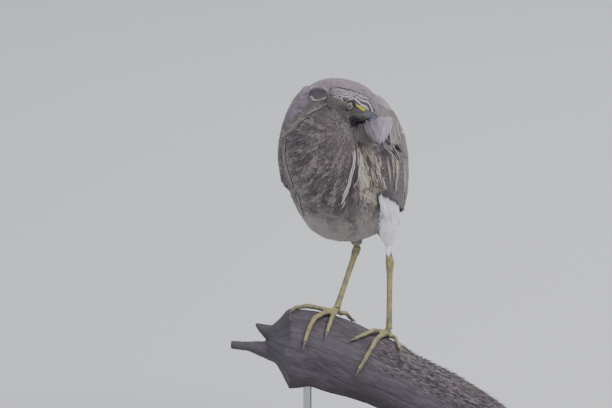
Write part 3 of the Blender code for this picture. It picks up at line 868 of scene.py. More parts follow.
class Markings:
    """The plumage's colours at given places, the same for skin and coat, laid on one over another."""

    def __init__(self, points, region, way):
        self.count = len(points)
        self.web = np.tile(MANTLE, (self.count, 1))
        self.streak = self.web * 1.2
        self.streak_width, self.softness, self.fringe = (np.full(self.count, v) for v in (0.05, 0.12, 0.05))
        within = {name: region == index for index, name in enumerate(PLUMAGE)}
        back, left, up = head_coordinates(points)
        x, y, z = (points / MM).T
        dorsal = dot(points - TRUNK_CENTRE, DORSAL) / MM
        offset = points - THROAT
        turn = np.arctan2(offset[:, 0], -offset[:, 2])
        rays = np.stack([turn * RAYS, way / (RAY_LENGTH * MM), turn * 0], axis=1)
        fine_rays = np.stack([turn * FINE_RAYS, way / (FINE_RAY_LENGTH * MM), turn * 0 + 7.0], axis=1)
        tone = field(rays) + 0.7 * field(fine_rays)
        blotch = field(points / (BLOTCH_SIZE * MM))
        broad = field(points / (BROAD_SIZE * MM) + 3)
        grain = draw.normal(0, 0.12, self.count)
        self.web = self.web * (1 + 0.10 * broad + 0.05 * blotch + 0.15 * grain)[:, None]
        foreneck_side = within["wing_left"] & (x < np.interp(z, *WING_EDGE)) & (y < -18) & (z < 338)
        streaked = within["neck"] | (within["trunk"] & (dorsal < 0)) | foreneck_side
        self.neck(streaked, x, z, tone, blotch, grain, way / MM)
        self.head(within["head"], back, left, up, grain, blotch)
        for side in SIDES:
            self.wing(within[f"wing_{side}"] & ~foreneck_side, x, z, blotch, grain)
        for centre, reach, colour in HOLLOWS:
            away = np.linalg.norm(points / MM - centre, axis=1) + 4 * tone
            self.lay_plain(ramp(away, reach * 1.3, reach * 0.7), colour)
        ahead = dot(points - TRUNK_CENTRE, FORWARD) / MM
        rump, vent = (ahead < -38) & (dorsal < 12), (ahead < -8) & (dorsal < -14)
        thighs = within["thigh_left"] | within["thigh_right"]
        self.lay_plain(within["tail"] | thighs | (within["trunk"] & (rump | vent)), WHITE)
        tuft = np.linalg.norm((points - FLANK_TUFT) * [1, 0.6, 0.8], axis=1) / MM
        self.lay_plain(ramp(tuft, 14, 11) * ~within["wing_left"], WHITE)

    def lay(self, weight, web, streak, width, softness, fringe):
        """Lays a colour and its streaks over what is there, as far as weight says."""
        weight = np.asarray(weight, float)
        self.web, self.streak = colour_mix(self.web, web, weight), colour_mix(self.streak, streak, weight)
        self.streak_width = mix(self.streak_width, width, weight)
        self.softness = mix(self.softness, softness, weight)
        self.fringe = mix(self.fringe, fringe, weight)

    def lay_plain(self, weight, colour):
        self.lay(weight, colour, colour, 0.1, 0.2, 0.0)

    def neck(self, where, x, z, tone, blotch, grain, way):
        """Brown, with dark blotches and buff rays from the throat, a cream foreneck and a plain belly."""
        strength = ramp(way, 24, 60) * mix(0.55, 1.0, ramp(x, -75, -35))
        dark = ramp(tone + 0.4 * blotch + grain, 0.0, 0.3) * mix(0.5, 1.0, strength)
        pale = ramp(tone + 0.3 * blotch + grain, -0.12, -0.40) * mix(0.5, 1.0, strength)
        web = colour_mix(colour_mix(NECK_BROWN, NECK_DARK, dark), NECK_BUFF, pale)
        streak = colour_mix(web, NECK_BUFF, 0.55)
        self.lay(where, web, streak, 0.16, 0.14, 0.25)
        side = x - np.interp(z, *FORENECK_LINE)
        fore = bump_at(side, 0, 9.0) * ramp(z + 14 * tone, 272, 296) * ramp(z, 341, 332)
        spots = ramp(blotch + 0.9 * tone + grain, -0.05, 0.2)
        web = colour_mix(colour_mix(CREAM, OFF_WHITE, ramp(tone, -0.1, -0.3)), BLOTCH, spots)
        self.lay(where * ramp(fore, 0.30, 0.55), web, colour_mix(web, CREAM, 0.5), 0.3, 0.16, 0.35)
        plain = ramp(z + 12 * tone, 284, 248)
        web = colour_mix(BELLY, NECK_BROWN, 0.25 * ramp(tone, 0.0, 0.4))
        self.lay(where * plain, web, BELLY, 0.2, 0.2, 0.1)

    def head(self, where, back, left, up, grain, blotch):
        """A crown of dark and whitish lines down to the nape, finely streaked cheeks and a greyish chin."""
        turn = np.arctan2(left, np.maximum(up - np.interp(back, *CROWN_AXIS), 1.0))
        lines = np.sin(turn * CROWN_LINES + 2.2 * blotch + CROWN_WAVER * np.sin(back / 2.1)) + 0.6 * grain
        web = colour_mix(CROWN_DARK, CROWN_PALE, mix(0.9, 0.6, ramp(back, 28, 38)) * ramp(lines, 0.05, 0.65))
        self.lay(where, web, colour_mix(web, CROWN_PALE, 0.25), 0.2, 0.10, 0.1)
        edge = np.interp(back, *CROWN_EDGE)
        cheek = colour_mix(CHIN_GREY, NECK_DARK, ramp(lines + blotch, 0.1, 0.8))
        self.lay(where * ramp(up - edge, 1.5, -1.5), cheek, NECK_BUFF, 0.26, 0.12, 0.1)
        self.lay(where * ramp(up, -4.5, -7.0) * ramp(back, 27, 22), CHIN_GREY, OFF_WHITE, 0.2, 0.15, 0.1)
        # Painted shade under the mouth's corner, on the head's underside.
        self.lay_plain(where * ramp(up, -2.0, -3.6) * band(back, 1, 4, 11.5, 14), HOLLOW_SHADE_DARK)

    def wing(self, where, x, z, blotch, grain):
        """Brown coverts with buff edges, paler and plainer on the left shoulder."""
        web = colour_mix(COVERT, NECK_DARK, 0.35 * ramp(blotch, 0.0, 0.5) + 0.12 * grain)
        self.lay(where, web, NECK_BUFF, 0.04, 0.05, 0.35)
        self.lay(where * ramp(z, 335, 315) * ramp(x, -5, 10), web * 0.75, NECK_BUFF, 0.04, 0.05, 0.25)
        self.lay(where * ramp(z, 330, 350) * ramp(x, -5, 15), SHOULDER, SHOULDER, 0.04, 0.05, 0.1)


# The mouth's line on the face: its height, how far behind the bill's base it bends down, and how steeply.
GAPE_UP, GAPE_BEND, GAPE_SLOPE = 0.7, 8.8, 0.655
# How far from the head's middle its sides begin, and the heights of brow, yellow and groove on them, in mm.
FACE_SIDE = 2.5
BROW_UP, YELLOW_UP, GROOVE_UP = 8.6, 7.0, 4.9


def gape_line(back):
    """The height of the mouth's line at a distance behind the bill's base, in mm."""
    return GAPE_UP - np.maximum(back - GAPE_BEND, 0) * GAPE_SLOPE


def bare_face(points):
    """Where the face has no feathers: the eyes' rings and the lores down to the mouth's line."""
    back, left, up = head_coordinates(points)
    ring = eye_distance(back, up) < 1.55
    lores = (back < 22) & (back > -3) & (up < 8.8) & (up > gape_line(back) - 0.6 + 3.2 * ramp(back, 12, 18))
    return (ring | lores) & (np.abs(left) > FACE_SIDE) & (back < 32)


# ---- coat

# The kind of feathers on each of the nodes in PLUMAGE.
COAT_SLOTS = ("mantle", "breast", "breast", "wing", "wing", "white", "white", "white")
# The distance between neighbouring roots as a share of the feathers' half width.
COAT_SPACING = 0.66
WING_SPACING = 1.0
MOST_TRIANGLES = 190000


def add_coat(hull, sizes, depth):
    """The small feathers of the whole body, by region."""
    length, half_width = sizes[:, 0], sizes[:, 1]
    spacing = np.where(hull.within("wing_left") | hull.within("wing_right"), WING_SPACING, COAT_SPACING)
    roots, triangle = scattered(hull, half_width * spacing, ~bare_face(hull.points))
    region = nearest_nodes(roots, PLUMAGE)
    count = len(roots)
    normals = unit(hull.at(hull.normals, triangle))
    marks = Markings(roots, region, hull.at(hull.way, triangle))
    flow = unit(hull.at(hull.flow, triangle))
    direction = unit(flow + np.cross(normals, flow) * draw.normal(0, 0.10, (count, 1)))
    half_here = hull.at(half_width, triangle) * draw.normal(1, 0.06, count)
    pointed = np.isin(region, [PLUMAGE.index(n) for n in ("head", "neck", "thigh_left", "thigh_right")])
    coat = Feathers(
        hull, roots, direction, marks.web, marks.streak, draw.normal(1, 0.05, (count, 1)),
        length=hull.at(length, triangle) * draw.normal(1, 0.10, count), half_width=half_here,
        depth=hull.at(depth, triangle), lift=np.abs(draw.normal(0.10, 0.12, count)) * MM,
        point=np.where(pointed, 0.7, 0.1), camber=half_here * 0.08, streak_width=marks.streak_width,
        fringe=marks.fringe, softness=marks.softness,
    )
    for index, name in enumerate(PLUMAGE):
        chosen = np.nonzero(region == index)[0]
        pieces = math.ceil(len(chosen) * triangles_each(SMALL_ACROSS) / MOST_TRIANGLES)
        for number in range(pieces):
            label = f"coat_{name}" if pieces == 1 else f"coat_{name}_{number + 1}"
            feather_piece(label, coat.picked(chosen[number::pieces]), f"{COAT_SLOTS[index]}_feathers")


def along_path(path, count):
    """Places spaced evenly along a path of points."""
    path = np.asarray(path, float)
    walked = np.concatenate([[0], np.cumsum(np.linalg.norm(np.diff(path, axis=0), axis=1))])
    t = np.linspace(0, walked[-1], count)
    return np.stack([np.interp(t, walked, path[:, k]) for k in range(3)], axis=1)


def lay_along(name, hull, kind, path, count, web, streak, length, half_width, spread=0.0, **values):
    """A row of draped feathers whose roots follow a path in mm, to within spread, each pointing along it."""
    places = along_path(path, count)
    direction = unit(np.gradient(places, axis=0) + draw.normal(0, 0.06 * spread, (count, 3)))
    places = places + draw.normal(0, 1, (count, 3)) * spread
    size = draw.normal(1, 0.06, count) * MM
    shade = draw.normal(1, 0.06, (count, 1))
    values.update(length=length * size, half_width=half_width * size)
    batch = Feathers(hull, places * MM, direction, web, streak, shade, **values)
    feather_piece(name, batch, f"{kind}_feathers")


TO_FRONT = np.array([0.0, -0.97, 0.25])


def hang_between(name, hull, kind, roots, tips, count, bulge, web, streak, half_width, middle=None,
                 ragged=0.35, **values):
    """Free feathers from one path in mm to another, by way of middle or bulging to the front by bulge."""
    start, end = (along_path(path, count) + draw.normal(0, ragged, (count, 3)) for path in (roots, tips))
    middle = (start + end) / 2 + TO_FRONT * bulge if middle is None else np.tile(middle, (count, 1))
    curves = np.stack([start, middle, end], axis=1) * MM
    shade = draw.normal(1, 0.05, (count, 1))
    values.update(length=0.0, half_width=half_width * MM * draw.normal(1, 0.06, count))
    batch = Feathers(hull, curves[:, 0], TO_FRONT, web, streak, shade, **values)
    feather_piece(name, batch, f"{kind}_feathers", curves, TO_FRONT)


# Painted shade on the lifted white coverts: lilac tips, the hollow's dark brown, and how far each covert,
# from the throat's side on, fades from the one to the other.
SHADED_LILAC_TIP = (0.50, 0.46, 0.55)
HOLLOW_SHADE_FAN = (0.128, 0.112, 0.116)
LIFTED = 80
FADE = ramp(np.linspace(0, 1, LIFTED), -0.12, 0.60)

# Root, middle and tip in mm of the pale edges round the curled feather on the mantle.
CURL_RIM = (
    ((-33, -43, 376.5), (-41, -41, 372.2), (-48, -25, 369.6)),
    ((-46.5, -27, 369.3), (-50, -13, 371.8), (-48, -8, 376)),
    ((-50, -12, 373.5), (-46, -8.5, 377.2), (-38, -13, 377.8)),
    ((-41, -10.5, 378), (-35.5, -17, 377), (-32, -26, 375)),
)

# What the bill has lifted, and other free feathers: the slot's kind, the paths of the roots and of the tips,
# the number, the bulge, the colours of web and streak, the half width, and the rest. Lengths are in mm.
HANGING = {
    "curled_feather": (
        "mantle", [(-50, -17, 371.8), (-50, -17, 371.8)], [(-33, -31, 375.8), (-33, -31, 375.8)], 1, -1.5,
        (0.130, 0.115, 0.140), (0.42, 0.36, 0.32), 6.6,
        {"cup": 2.5 * MM, "fringe": 0.6, "streak_width": -0.5, "point": 0.35},
    ),
    **{
        f"curled_rim_{number}": (
            "mantle", [root, root], [tip, tip], 3, 0.0, PLUME_BUFF, OFF_WHITE, 1.0,
            {"middle": middle, "point": 0.8},
        )
        for number, (root, middle, tip) in enumerate(CURL_RIM, 1)
    },
    # Coverts over the hollow, painted in its dark shade.
    "hollow_coverts": (
        "wing", [(-13, -54, 346), (-9, -52, 350), (-2, -54, 353.5), (4, -54, 356)],
        [(-9, -52, 337), (-6, -50, 336), (3, -50, 335), (11, -52, 335)], 60, 2.0, HOLLOW_SHADE_FAN, HOLLOW_SHADE_FAN, 2.4,
        {"fringe": 0.1, "streak_width": 0.0, "softness": 0.3, "point": 0.8, "ragged": 0.6},
    ),
    # White coverts painted as in shade, in lilac grey that darkens into the hollow's painted shade.
    "lifted_coverts": (
        "white", [(0, -54.5, 355), (5, -54, 356.5), (13, -49, 358), (24, -38, 355)],
        [(8.5, -53, 336), (12, -53.5, 335.5), (14.5, -53, 336), (17.5, -49, 340)], LIFTED, 2.5,
        colour_mix(HOLLOW_SHADE_FAN, SHADED_LILAC_WHITE, FADE), colour_mix(HOLLOW_SHADE_FAN, SHADED_LILAC_TIP, FADE), 2.1,
        {"fringe": 0.2, "streak_width": 0.25, "softness": 0.25, "point": 0.9, "ragged": 1.0},
    ),
    "shoulder_coverts": (
        "wing", [(1, -32, 371), (9, -27, 366), (18, -21, 360), (24, -17, 355)],
        [(5, -50, 364), (12, -45, 357), (23, -40, 350), (30, -29, 341)], 40, 1.0,
        SHOULDER, (0.31, 0.265, 0.270), 2.4,
        {"fringe": 0.4, "streak_width": 0.08, "point": 0.4, "ragged": 1.0},
    ),
    "streaked_coverts": (
        "wing", [(21, -36, 354), (29, -28, 352)], [(24, -46, 332), (33.5, -37, 331)], 20, 2.5,
        (0.20, 0.172, 0.178), (0.50, 0.45, 0.43), 1.3,
        {"fringe": 0.2, "streak_width": 0.35, "point": 0.7, "ragged": 0.7},
    ),
    "dark_tipped_feather": (
        "wing", [(16, -45, 336), (17.5, -46, 338)], [(28, -38.5, 318), (31.5, -35, 312.5)], 2, 2.0,
        (0.060, 0.052, 0.062), (0.52, 0.49, 0.50), 2.6, {"fringe": 0.8, "streak_width": 0.0, "point": 0.7},
    ),
    "buff_feather": (
        "wing", [(14, -45, 340), (20, -43, 343)], [(23, -43.5, 326), (27, -41, 328)], 9, 1.0,
        (0.20, 0.160, 0.135), (0.30, 0.25, 0.215), 1.8, {"fringe": 0.4, "point": 0.6, "ragged": 0.6},
    ),
    "stray_feather": (
        "white", [(30, -24, 338), (30.5, -24, 339)], [(38.5, -27, 341), (38.5, -25, 338)], 2, 1.0,
        WHITE, WHITE, 0.8, {"point": 0.8},
    ),
    "flank_tuft": (
        "white", [(13, -24, 281), (19, -14, 276), (26, -2, 268), (27, 10, 264)],
        [(17, -15, 262), (22, -7, 252), (30, 5, 247), (28, 14, 244)], 90, 3.0, WHITE, WHITE, 1.3,
        {"point": 0.7, "ragged": 1.4},
    ),
    "belly_fringe": (
        "breast", [(-12, 17, 230), (-7.5, 14.5, 229), (-3, 17, 230)],
        [(-11, 17, 223.5), (-7.5, 15.5, 223), (-4, 17, 223.5)], 26, 0.5, BELLY, BELLY, 0.7,
        {"point": 0.9, "ragged": 0.9},
    ),
    "thigh_fringe": (
        "white", [(19.5, 7, 229), (21.5, 5.5, 229), (23.5, 7, 229)],
        [(20.5, 7.5, 217), (21.5, 6.5, 214), (22.5, 8, 217)], 14, 0.3, WHITE, WHITE, 0.7,
        {"point": 0.9, "ragged": 0.5},
    ),
}
COLLAR_ROWS = 4
COLLAR_STEP = np.array([0, 0, -1.7])
COLLAR_LOOKS = {
    "lift": 0.5 * MM, "streak_width": 0.5, "softness": 0.1, "fringe": 0.0, "point": 0.8, "steady": 12.0,
}


def add_ruffled_feathers(hull):
    """The free feathers, and the collar's edge down to the flank."""
    for name, (*row, values) in HANGING.items():
        hang_between(name, hull, *row, **values)
    for row in range(COLLAR_ROWS):
        pale, path = (PLUME_BUFF, NECK_BUFF)[row % 2], COLLAR + COLLAR_STEP * row
        name = f"collar_edge_{row + 1}"
        lay_along(name, hull, "breast", path, 22, NECK_DARK, pale, 13, 0.8, 0.5, **COLLAR_LOOKS)
    lay_along("collar_drop", hull, "breast", COLLAR_DROP, 24, NECK_DARK, PLUME_BUFF, 22, 1.0, **COLLAR_LOOKS)


PLUMES = {
    # The slot's kind, then the rows: the roots' path, their number and spread, and the feathers' colour,
    # length and half width. Lengths are in mm.
    "foreneck": (
        "breast",
        ([(-6, -55, 334), (-8, -57, 318), (-13, -58, 298)], 9, 1.6, NECK_DARK, 18, 1.2),
        ([(-9, -57, 333), (-12, -60, 315), (-16, -60, 297)], 12, 1.1, OFF_WHITE, 14, 0.7),
        ([(-15, -61, 303), (-19, -56, 284)], 7, 1.0, OFF_WHITE, 12, 0.7),
        ([(-3, -52, 331), (-4, -54, 316), (-7, -56, 306)], 8, 0.8, OFF_WHITE, 12, 0.6),
        ([(8, -43, 324), (12, -40, 308), (15, -34, 296)], 8, 0.7, OFF_WHITE, 12, 0.5),
        ([(1, -45, 331), (3, -45, 318)], 7, 1.6, CREAM, 10, 1.2),
        ([(6, -43, 320), (9, -41, 304), (10, -36, 294)], 9, 1.8, CREAM, 10, 1.2),
        ([(2, -45, 326), (6, -43, 310), (7, -40, 296)], 12, 2.2, BLOTCH, 8, 1.0),
        ([(3, -46, 328), (7, -43, 312), (9, -38, 296)], 10, 3.0, OFF_WHITE, 9, 0.5),
        ([(-2, -52, 341), (4, -46, 338), (8, -42, 334)], 12, 1.4, OFF_WHITE, 6, 0.6),
        ([(-2, -52, 343), (4, -46, 340), (8, -42, 336)], 10, 1.6, NECK_DARK, 6, 0.7),
    ),
    "chin": (
        "breast",
        ([(-3, -50, 356), (-9, -54, 351)], 4, 0.3, OFF_WHITE, 5, 0.4),
        ([(-11, -57, 352), (-12, -59, 345)], 6, 1.2, NECK_BUFF, 6, 0.35),
        ([(-15, -60, 355), (-16, -62, 345)], 6, 1.6, STREAK_GREY, 5, 0.3),
        ([(-20, -63, 355), (-20, -64, 343)], 6, 1.6, NECK_BUFF, 7, 0.35),
    ),
    "wing": (
        "wing",
        ([(20, -39, 320), (21, -37, 312)], 3, 0.4, PLUME_BUFF, 26, 0.7),
        ([(27, -32, 328), (28.5, -30, 316), (29, -27, 304)], 9, 0.7, PLUME_BUFF, 24, 1.0),
        ([(34.5, -12, 308), (34.5, -6, 294)], 6, 0.6, PLUME_BUFF, 24, 0.9),
        ([(24, -36, 326), (25, -34, 314)], 3, 0.4, PLUME_BUFF, 20, 0.6),
    ),
}


def add_plumes(hull):
    """The long feathers that stand out on the foreneck, the chin and the closed wing."""
    for place, (kind, *plumes) in PLUMES.items():
        for number, (path, count, spread, colour, length, half_width) in enumerate(plumes, 1):
            lay_along(f"{place}_plume_{number}", hull, kind, path, count, colour, colour, length, half_width,
                      spread, lift=0.9 * MM, point=0.8, fringe=0.0, steady=8.0)


def wing_frame(side):
    """A closed wing's front top corner, and the ways along it and down it, as long as the wing is."""
    points = node_points(f"wing_{side}")
    along = rear_axis(f"wing_{side}")
    out = SIDES[side]
    down = unit(np.cross(along, out))
    down = down * (-1 if down[2] > 0 else 1)
    t, s = dot(points, along), dot(points, down)
    corner = along * t.min() + down * s.min() + out * dot(points, out).max()
    return corner, along * np.ptp(t), down * np.ptp(s)


# First and last root as shares along and down the wing, number, length and half width in mm, turn down.
FLIGHT_ROWS = {
    "scapulars_rear": ((0.40, 0.66), (-0.06, 0.20), 9, 58, 6.0, 0.02),
    "scapulars_front": ((0.12, 0.44), (-0.02, 0.16), 8, 50, 6.0, 0.03),
    "secondaries": ((0.34, 0.74), (0.52, 0.86), 9, 46, 5.0, 0.05),
    "primaries": ((0.52, 0.62), (0.60, 0.74), 6, 50, 4.2, 0.0),
    "tertials": ((0.30, 0.30), (0.42, 0.62), 4, 56, 7.0, 0.05),
    "greater_coverts": ((0.20, 0.66), (0.42, 0.80), 11, 24, 4.4, 0.1),
}


def add_flight_feathers(hull):
    for side in SIDES:
        corner, along, down = wing_frame(side)
        for kind, (first, last, count, length, half_width, turn) in FLIGHT_ROWS.items():
            t = np.linspace(0, 1, count)[:, None]
            start = corner + along * mix(first[0], last[0], t) + down * mix(first[1], last[1], t)
            direction = np.tile(unit(unit(along) + unit(down) * turn), (count, 1))
            shade = draw.normal(1, 0.05, (count, 1))
            batch = Feathers(hull, start, direction, COVERT, NECK_BUFF, shade, length=length * MM,
                             half_width=half_width * MM, lift=mix(0.4, 0.9, t[:, 0]) * MM,
                             streak_width=0.05, softness=0.04, fringe=0.55)
            feather_piece(f"{kind}_{side}", batch, "wing_feathers")


# The line in mm down the back between the closed wings, and the number of feathers that lie over it.
BACK_RIDGE = (
    (-8, 44, 351), (-1, 60, 334), (5.5, 77, 315), (11, 91, 294), (16, 104, 272), (20.5, 115, 254),
    (23.5, 121, 243),
)
SCAPULARS = 60


def add_back_feathers(hull):
    """Long scapulars, each lying over the next, that close the gap between the wings."""
    facing = unit(UP * 0.61 - FORWARD * 0.79)
    line = along_path(BACK_RIDGE, 5 * SCAPULARS)
    first = np.linspace(0, 4 * SCAPULARS - 1, SCAPULARS).astype(int)
    aside = LEFT * draw.normal(0, 1, (SCAPULARS, 1)) * np.linspace(5.0, 1.5, SCAPULARS)[:, None]
    start, tip = line[first] + aside, line[first + SCAPULARS] + aside * 0.8
    curves = np.stack([start, (start + tip) / 2 + facing * 0.8, tip], axis=1) * MM
    colours = colour_mix(MANTLE, COVERT, np.linspace(0, 1, SCAPULARS)) * draw.normal(1, 0.07, (SCAPULARS, 1))
    batch = Feathers(hull, curves[:, 0], facing, colours, colours * 1.4, length=0.0,
                     half_width=np.linspace(7.0, 4.0, SCAPULARS) * MM, depth=1.0 * MM, lift=1.0 * MM,
                     camber=1.4 * MM, streak_width=0.04, softness=0.04, fringe=0.3)
    feather_piece("long_scapulars", batch, "mantle_feathers", curves, facing)


TAIL_FEATHERS = 10
TAIL_BASE = 8 * MM


def add_tail_feathers(hull):
    points = node_points("tail")
    axis = rear_axis("tail")
    ahead = dot(points, axis)
    base = points[ahead < ahead.min() + TAIL_BASE]
    t = np.linspace(-1, 1, TAIL_FEATHERS)[:, None]
    root = base.mean(0) + UP * 6 * MM + LEFT * t * np.ptp(dot(base, LEFT)) / 2 * 0.8
    batch = Feathers(hull, root, unit(axis + LEFT * t * 0.12), WHITE, WHITE, length=np.ptp(ahead) * 0.92,
                     half_width=3.6 * MM, lift=0.4 * MM)
    feather_piece("tail_feathers", batch, "white_feathers")


# ---- skin: body, bare face, legs and feet

# The opening between the lids in mm, and how far it lies behind and above the eyeball's middle.
LID_HALF_HEIGHT, LID_HALF_WIDTH = 4.3, 2.6
LID_BACK, LID_UP = 0.9, -1.4
LID_SLANT = math.radians(42)
YELLOW = (0.56, 0.50, 0.03)
LORE_GREEN = (0.086, 0.083, 0.070)
LORE_BLUE = (0.140, 0.155, 0.205)
EYE_LINE = (0.052, 0.050, 0.056)
LID_OLIVE = (0.150, 0.150, 0.095)
# Painted shade under the mouth's line.
MOUTH_SHADE_DARK = (0.070, 0.060, 0.085)
GAPE_PALE = (0.24, 0.225, 0.18)
# Painted highlight and shade on the legs: a lighter yellow where the light falls, grey on the sides.
LEG_LIT_YELLOW = (0.340, 0.298, 0.128)
LEG_SHADED_GREY = (0.190, 0.172, 0.135)


def eye_distance(back, up):
    """How far out of the lids' opening a place on the head's side is: 1 on the lid's edge."""
    along, rise = back - EYE_BACK - LID_BACK, up - EYE_UP - LID_UP
    tall = along * math.sin(LID_SLANT) + rise * math.cos(LID_SLANT)
    wide = along * math.cos(LID_SLANT) - rise * math.sin(LID_SLANT)
    return np.hypot(tall / LID_HALF_HEIGHT, wide / LID_HALF_WIDTH)


def face_relief(points):
    """How far the bare face stands out in mm: lids, brow, the groove of the lores, the mouth's line."""
    back, left, up = head_coordinates(points)
    ring, gape = eye_distance(back, up), gape_line(back)
    lids = 0.75 * bump_at(ring, 1.17, 0.16) + 0.3 * bump_at(ring, 1.5, 0.12)
    hollow = -0.25 * bump_at(ring, 1.36, 0.07) - 3.4 * ramp(ring, 1.0, 0.82)
    brow = 0.55 * bump_at(up, BROW_UP, 1.5) * band(back, -4, 0, 28, 34)
    groove = -0.5 * bump_at(up, GROOVE_UP, 0.7) * band(back, -2, 1, 18, 21)
    mouth = -0.7 * bump_at(up, gape, 0.5) * band(back, -2, 1, 16, 19)
    rim = 0.4 * bump_at(up, gape + 1.1, 0.6) * band(back, -2, 1, 15, 19)
    return (lids + hollow + brow + groove + mouth + rim) * (np.abs(left) > FACE_SIDE)


def face_paint(points, colours):
    """Lays the bare face's colours over the plumage's, with painted shade below the mouth's line."""
    back, left, up = head_coordinates(points)
    ring, gape = eye_distance(back, up), gape_line(back)
    mottle = field(points / (1.6 * MM))
    yellow = ramp(np.abs(up - YELLOW_UP) / mix(1.8, 0.7, ramp(back, 13, 21)) + 0.7 * mottle, 1.15, 0.7)
    layers = (
        (EYE_LINE, ramp(np.abs(up - GROOVE_UP), 1.3, 0.7) * ramp(back, 22, 20)),
        (EYE_LINE, 0.6 * ramp(mottle, 0.0, 0.4)),
        (YELLOW, yellow * band(back, 8.6, 10.6, 18.0, 23.0)),
        (GAPE_PALE, 0.8 * ramp(np.abs(up - gape - 0.9), 0.8, 0.3)),
        (LORE_BLUE, ramp(back, 10.5, 6.0) * ramp(np.abs(up - 5.6) + 0.8 * mottle, 2.6, 1.8)),
        (LID_OLIVE, ramp(ring, 1.7, 1.45) * mix(1.0, 0.5, ramp(mottle, -0.2, 0.3))),
        (EYE_LINE, ramp(ring, 1.12, 1.02)),
    )
    face = np.tile(LORE_GREEN, (len(points), 1))
    for colour, weight in layers:
        face = colour_mix(face, colour, weight)
    # Below the mouth's line the skin is painted with shade.
    mouth = (back > 1) & (back < 13.5) & (up < gape - 0.4) & (up > -8.5) & (np.abs(left) > FACE_SIDE)
    colours = np.where(bare_face(points)[:, None], face, colours)
    return np.where(mouth[:, None], MOUTH_SHADE_DARK, colours)


def refined_face(mesh):
    """Finer faces on the head, and finer ones still round the eyes and lores."""
    shape = bmesh.new()
    shape.from_mesh(mesh)
    for reach, behind in ((16.0, 36.0), (11.5, 31.0)):
        points = np.array([v.co for v in shape.verts])
        back, _, up = head_coordinates(points)
        near = (back > -6) & (back < behind) & (np.abs(up) < reach)
        shape.edges.ensure_lookup_table()
        edges = [e for e in shape.edges if near[e.verts[0].index] and near[e.verts[1].index]]
        bmesh.ops.subdivide_edges(shape, edges=edges, cuts=1, use_grid_fill=True)
        shape.verts.index_update()
    shape.to_mesh(mesh)
    shape.free()


SCUTE = 2.1
LIMB_SWELL = 0.35 * MM
LIMB_VOXEL = 0.5 * MM
SCUTE_HEIGHT = 0.22 * MM


def limb_mesh():
    """Legs and feet in one fine mesh with raised scutes, and the coordinates that their scales follow."""
    mesh, net = smooth_copy(LIMBS, LIMB_SWELL, LIMB_VOXEL, 3)
    points, normals = mesh_points(mesh), mesh_normals(mesh)
    node = nearest_nodes(points, LIMBS)
    joints = [np.linalg.norm(points - foot_joint(side), axis=1).argmin() for side in SIDES]
    along = walking_distance(net, points, joints) / MM
    on_leg = node < 2
    front = np.where(on_leg, dot(normals, FORWARD), dot(normals, UP))
    front = net.soften(ramp(front, 0.0, 0.5), 3)
    profile = np.abs(np.sin(along / SCUTE * math.pi)) ** 0.5
    set_points(mesh, points + normals * (SCUTE_HEIGHT * (profile - 0.6) * front)[:, None])
    return mesh, along, front


def foot_joint(side):
    """The middle of a leg's lower end."""
    points = node_points(f"leg_{side}")
    return points[points[:, 2] < points[:, 2].min() + 3 * MM].mean(0)


def skin_material():
    """The painted skin with fine grain, the scutes' seams on the front of the limbs, small scales behind."""
    tree = Tree("skin", 0.5)
    along, front, scaly = tree.parts("scale")
    place = tree.place()
    grain = tree.noise(place, 900.0)
    step = tree.math("ABSOLUTE", tree.math("SINE", tree.times(along, math.pi / SCUTE)))
    seam = tree.times(tree.ramp(step, 0.45, 0.05), tree.times(front, scaly))
    cells = tree.add("TexVoronoi", {"Vector": place, "Scale": 900.0}, feature="DISTANCE_TO_EDGE")
    edge = tree.times(tree.ramp(cells["Distance"], 0.12, 0.02), tree.math("SUBTRACT", 1.0, front))
    dark = tree.math("MAXIMUM", tree.times(seam, 0.7), tree.times(edge, tree.times(scaly, 0.4)))
    light = tree.times(tree.math("SUBTRACT", 1.0, dark), tree.fit(grain, 0.3, 0.85))
    tree.bump(tree.math("SUBTRACT", tree.times(grain, 0.4), dark), 0.5, 0.2 * MM)
    return tree.finish(tree.scaled(tree.attribute("tint", "Color"), light))


def add_skin(hull, depth):
    """The one skin: the hull moved in by the coat's depth, with the face's folds, joined to legs and feet."""
    body = hull.mesh.copy()
    bare = hull.net.soften(bare_face(hull.points).astype(float), 1)
    set_points(body, hull.points - hull.normals * mix(depth, 0.15 * MM, bare)[:, None])
    refined_face(body)
    points = mesh_points(body)
    head = nearest_nodes(points, PLUMAGE) == PLUMAGE.index("head")
    aside = HEAD_LEFT * np.sign(head_coordinates(points)[1])[:, None]
    points = points + aside * (face_relief(points) * head * MM)[:, None]
    set_points(body, points)
    points = mesh_points(body)
    marks = Markings(points, nearest_nodes(points, PLUMAGE), hull.at(hull.way, hull.nearest(points)[1]))
    limbs, along, front = limb_mesh()
    limb_points = mesh_points(limbs)
    worn = field(limb_points / (5 * MM)) + 0.5 * field(limb_points / (2 * MM) + 4)
    # Fronts of the legs and tops of the toes get the painted highlight's yellow, the sides the painted
    # shade's grey, broken up at random.
    limb_colours = colour_mix(LEG_SHADED_GREY, LEG_LIT_YELLOW, ramp(0.8 * front - 1.6 * worn, 0.0, 1.2))
    mesh = merged([body, limbs], "skin")
    store_colour(mesh, "tint", np.vstack([face_paint(points, marks.web), limb_colours]))
    scales = np.column_stack([along, front, np.ones(len(along))])
    store(mesh, "scale", np.vstack([np.zeros((len(points), 3)), scales]))
    mesh.shade_smooth()
    add_piece("skin", mesh, skin_material(), "leg_skin", *PLUMAGE, *LIMBS)


# ---- eyes, bill and claws


PUPIL, EYE_WHITE = (0.085, 0.077, 0.112, 1), (0.035, 0.035, 0.03, 1)
IRIS, IRIS_RAYS, IRIS_RIM = (0.200, 0.195, 0.125, 1), (0.140, 0.140, 0.110, 1), (0.060, 0.060, 0.048, 1)
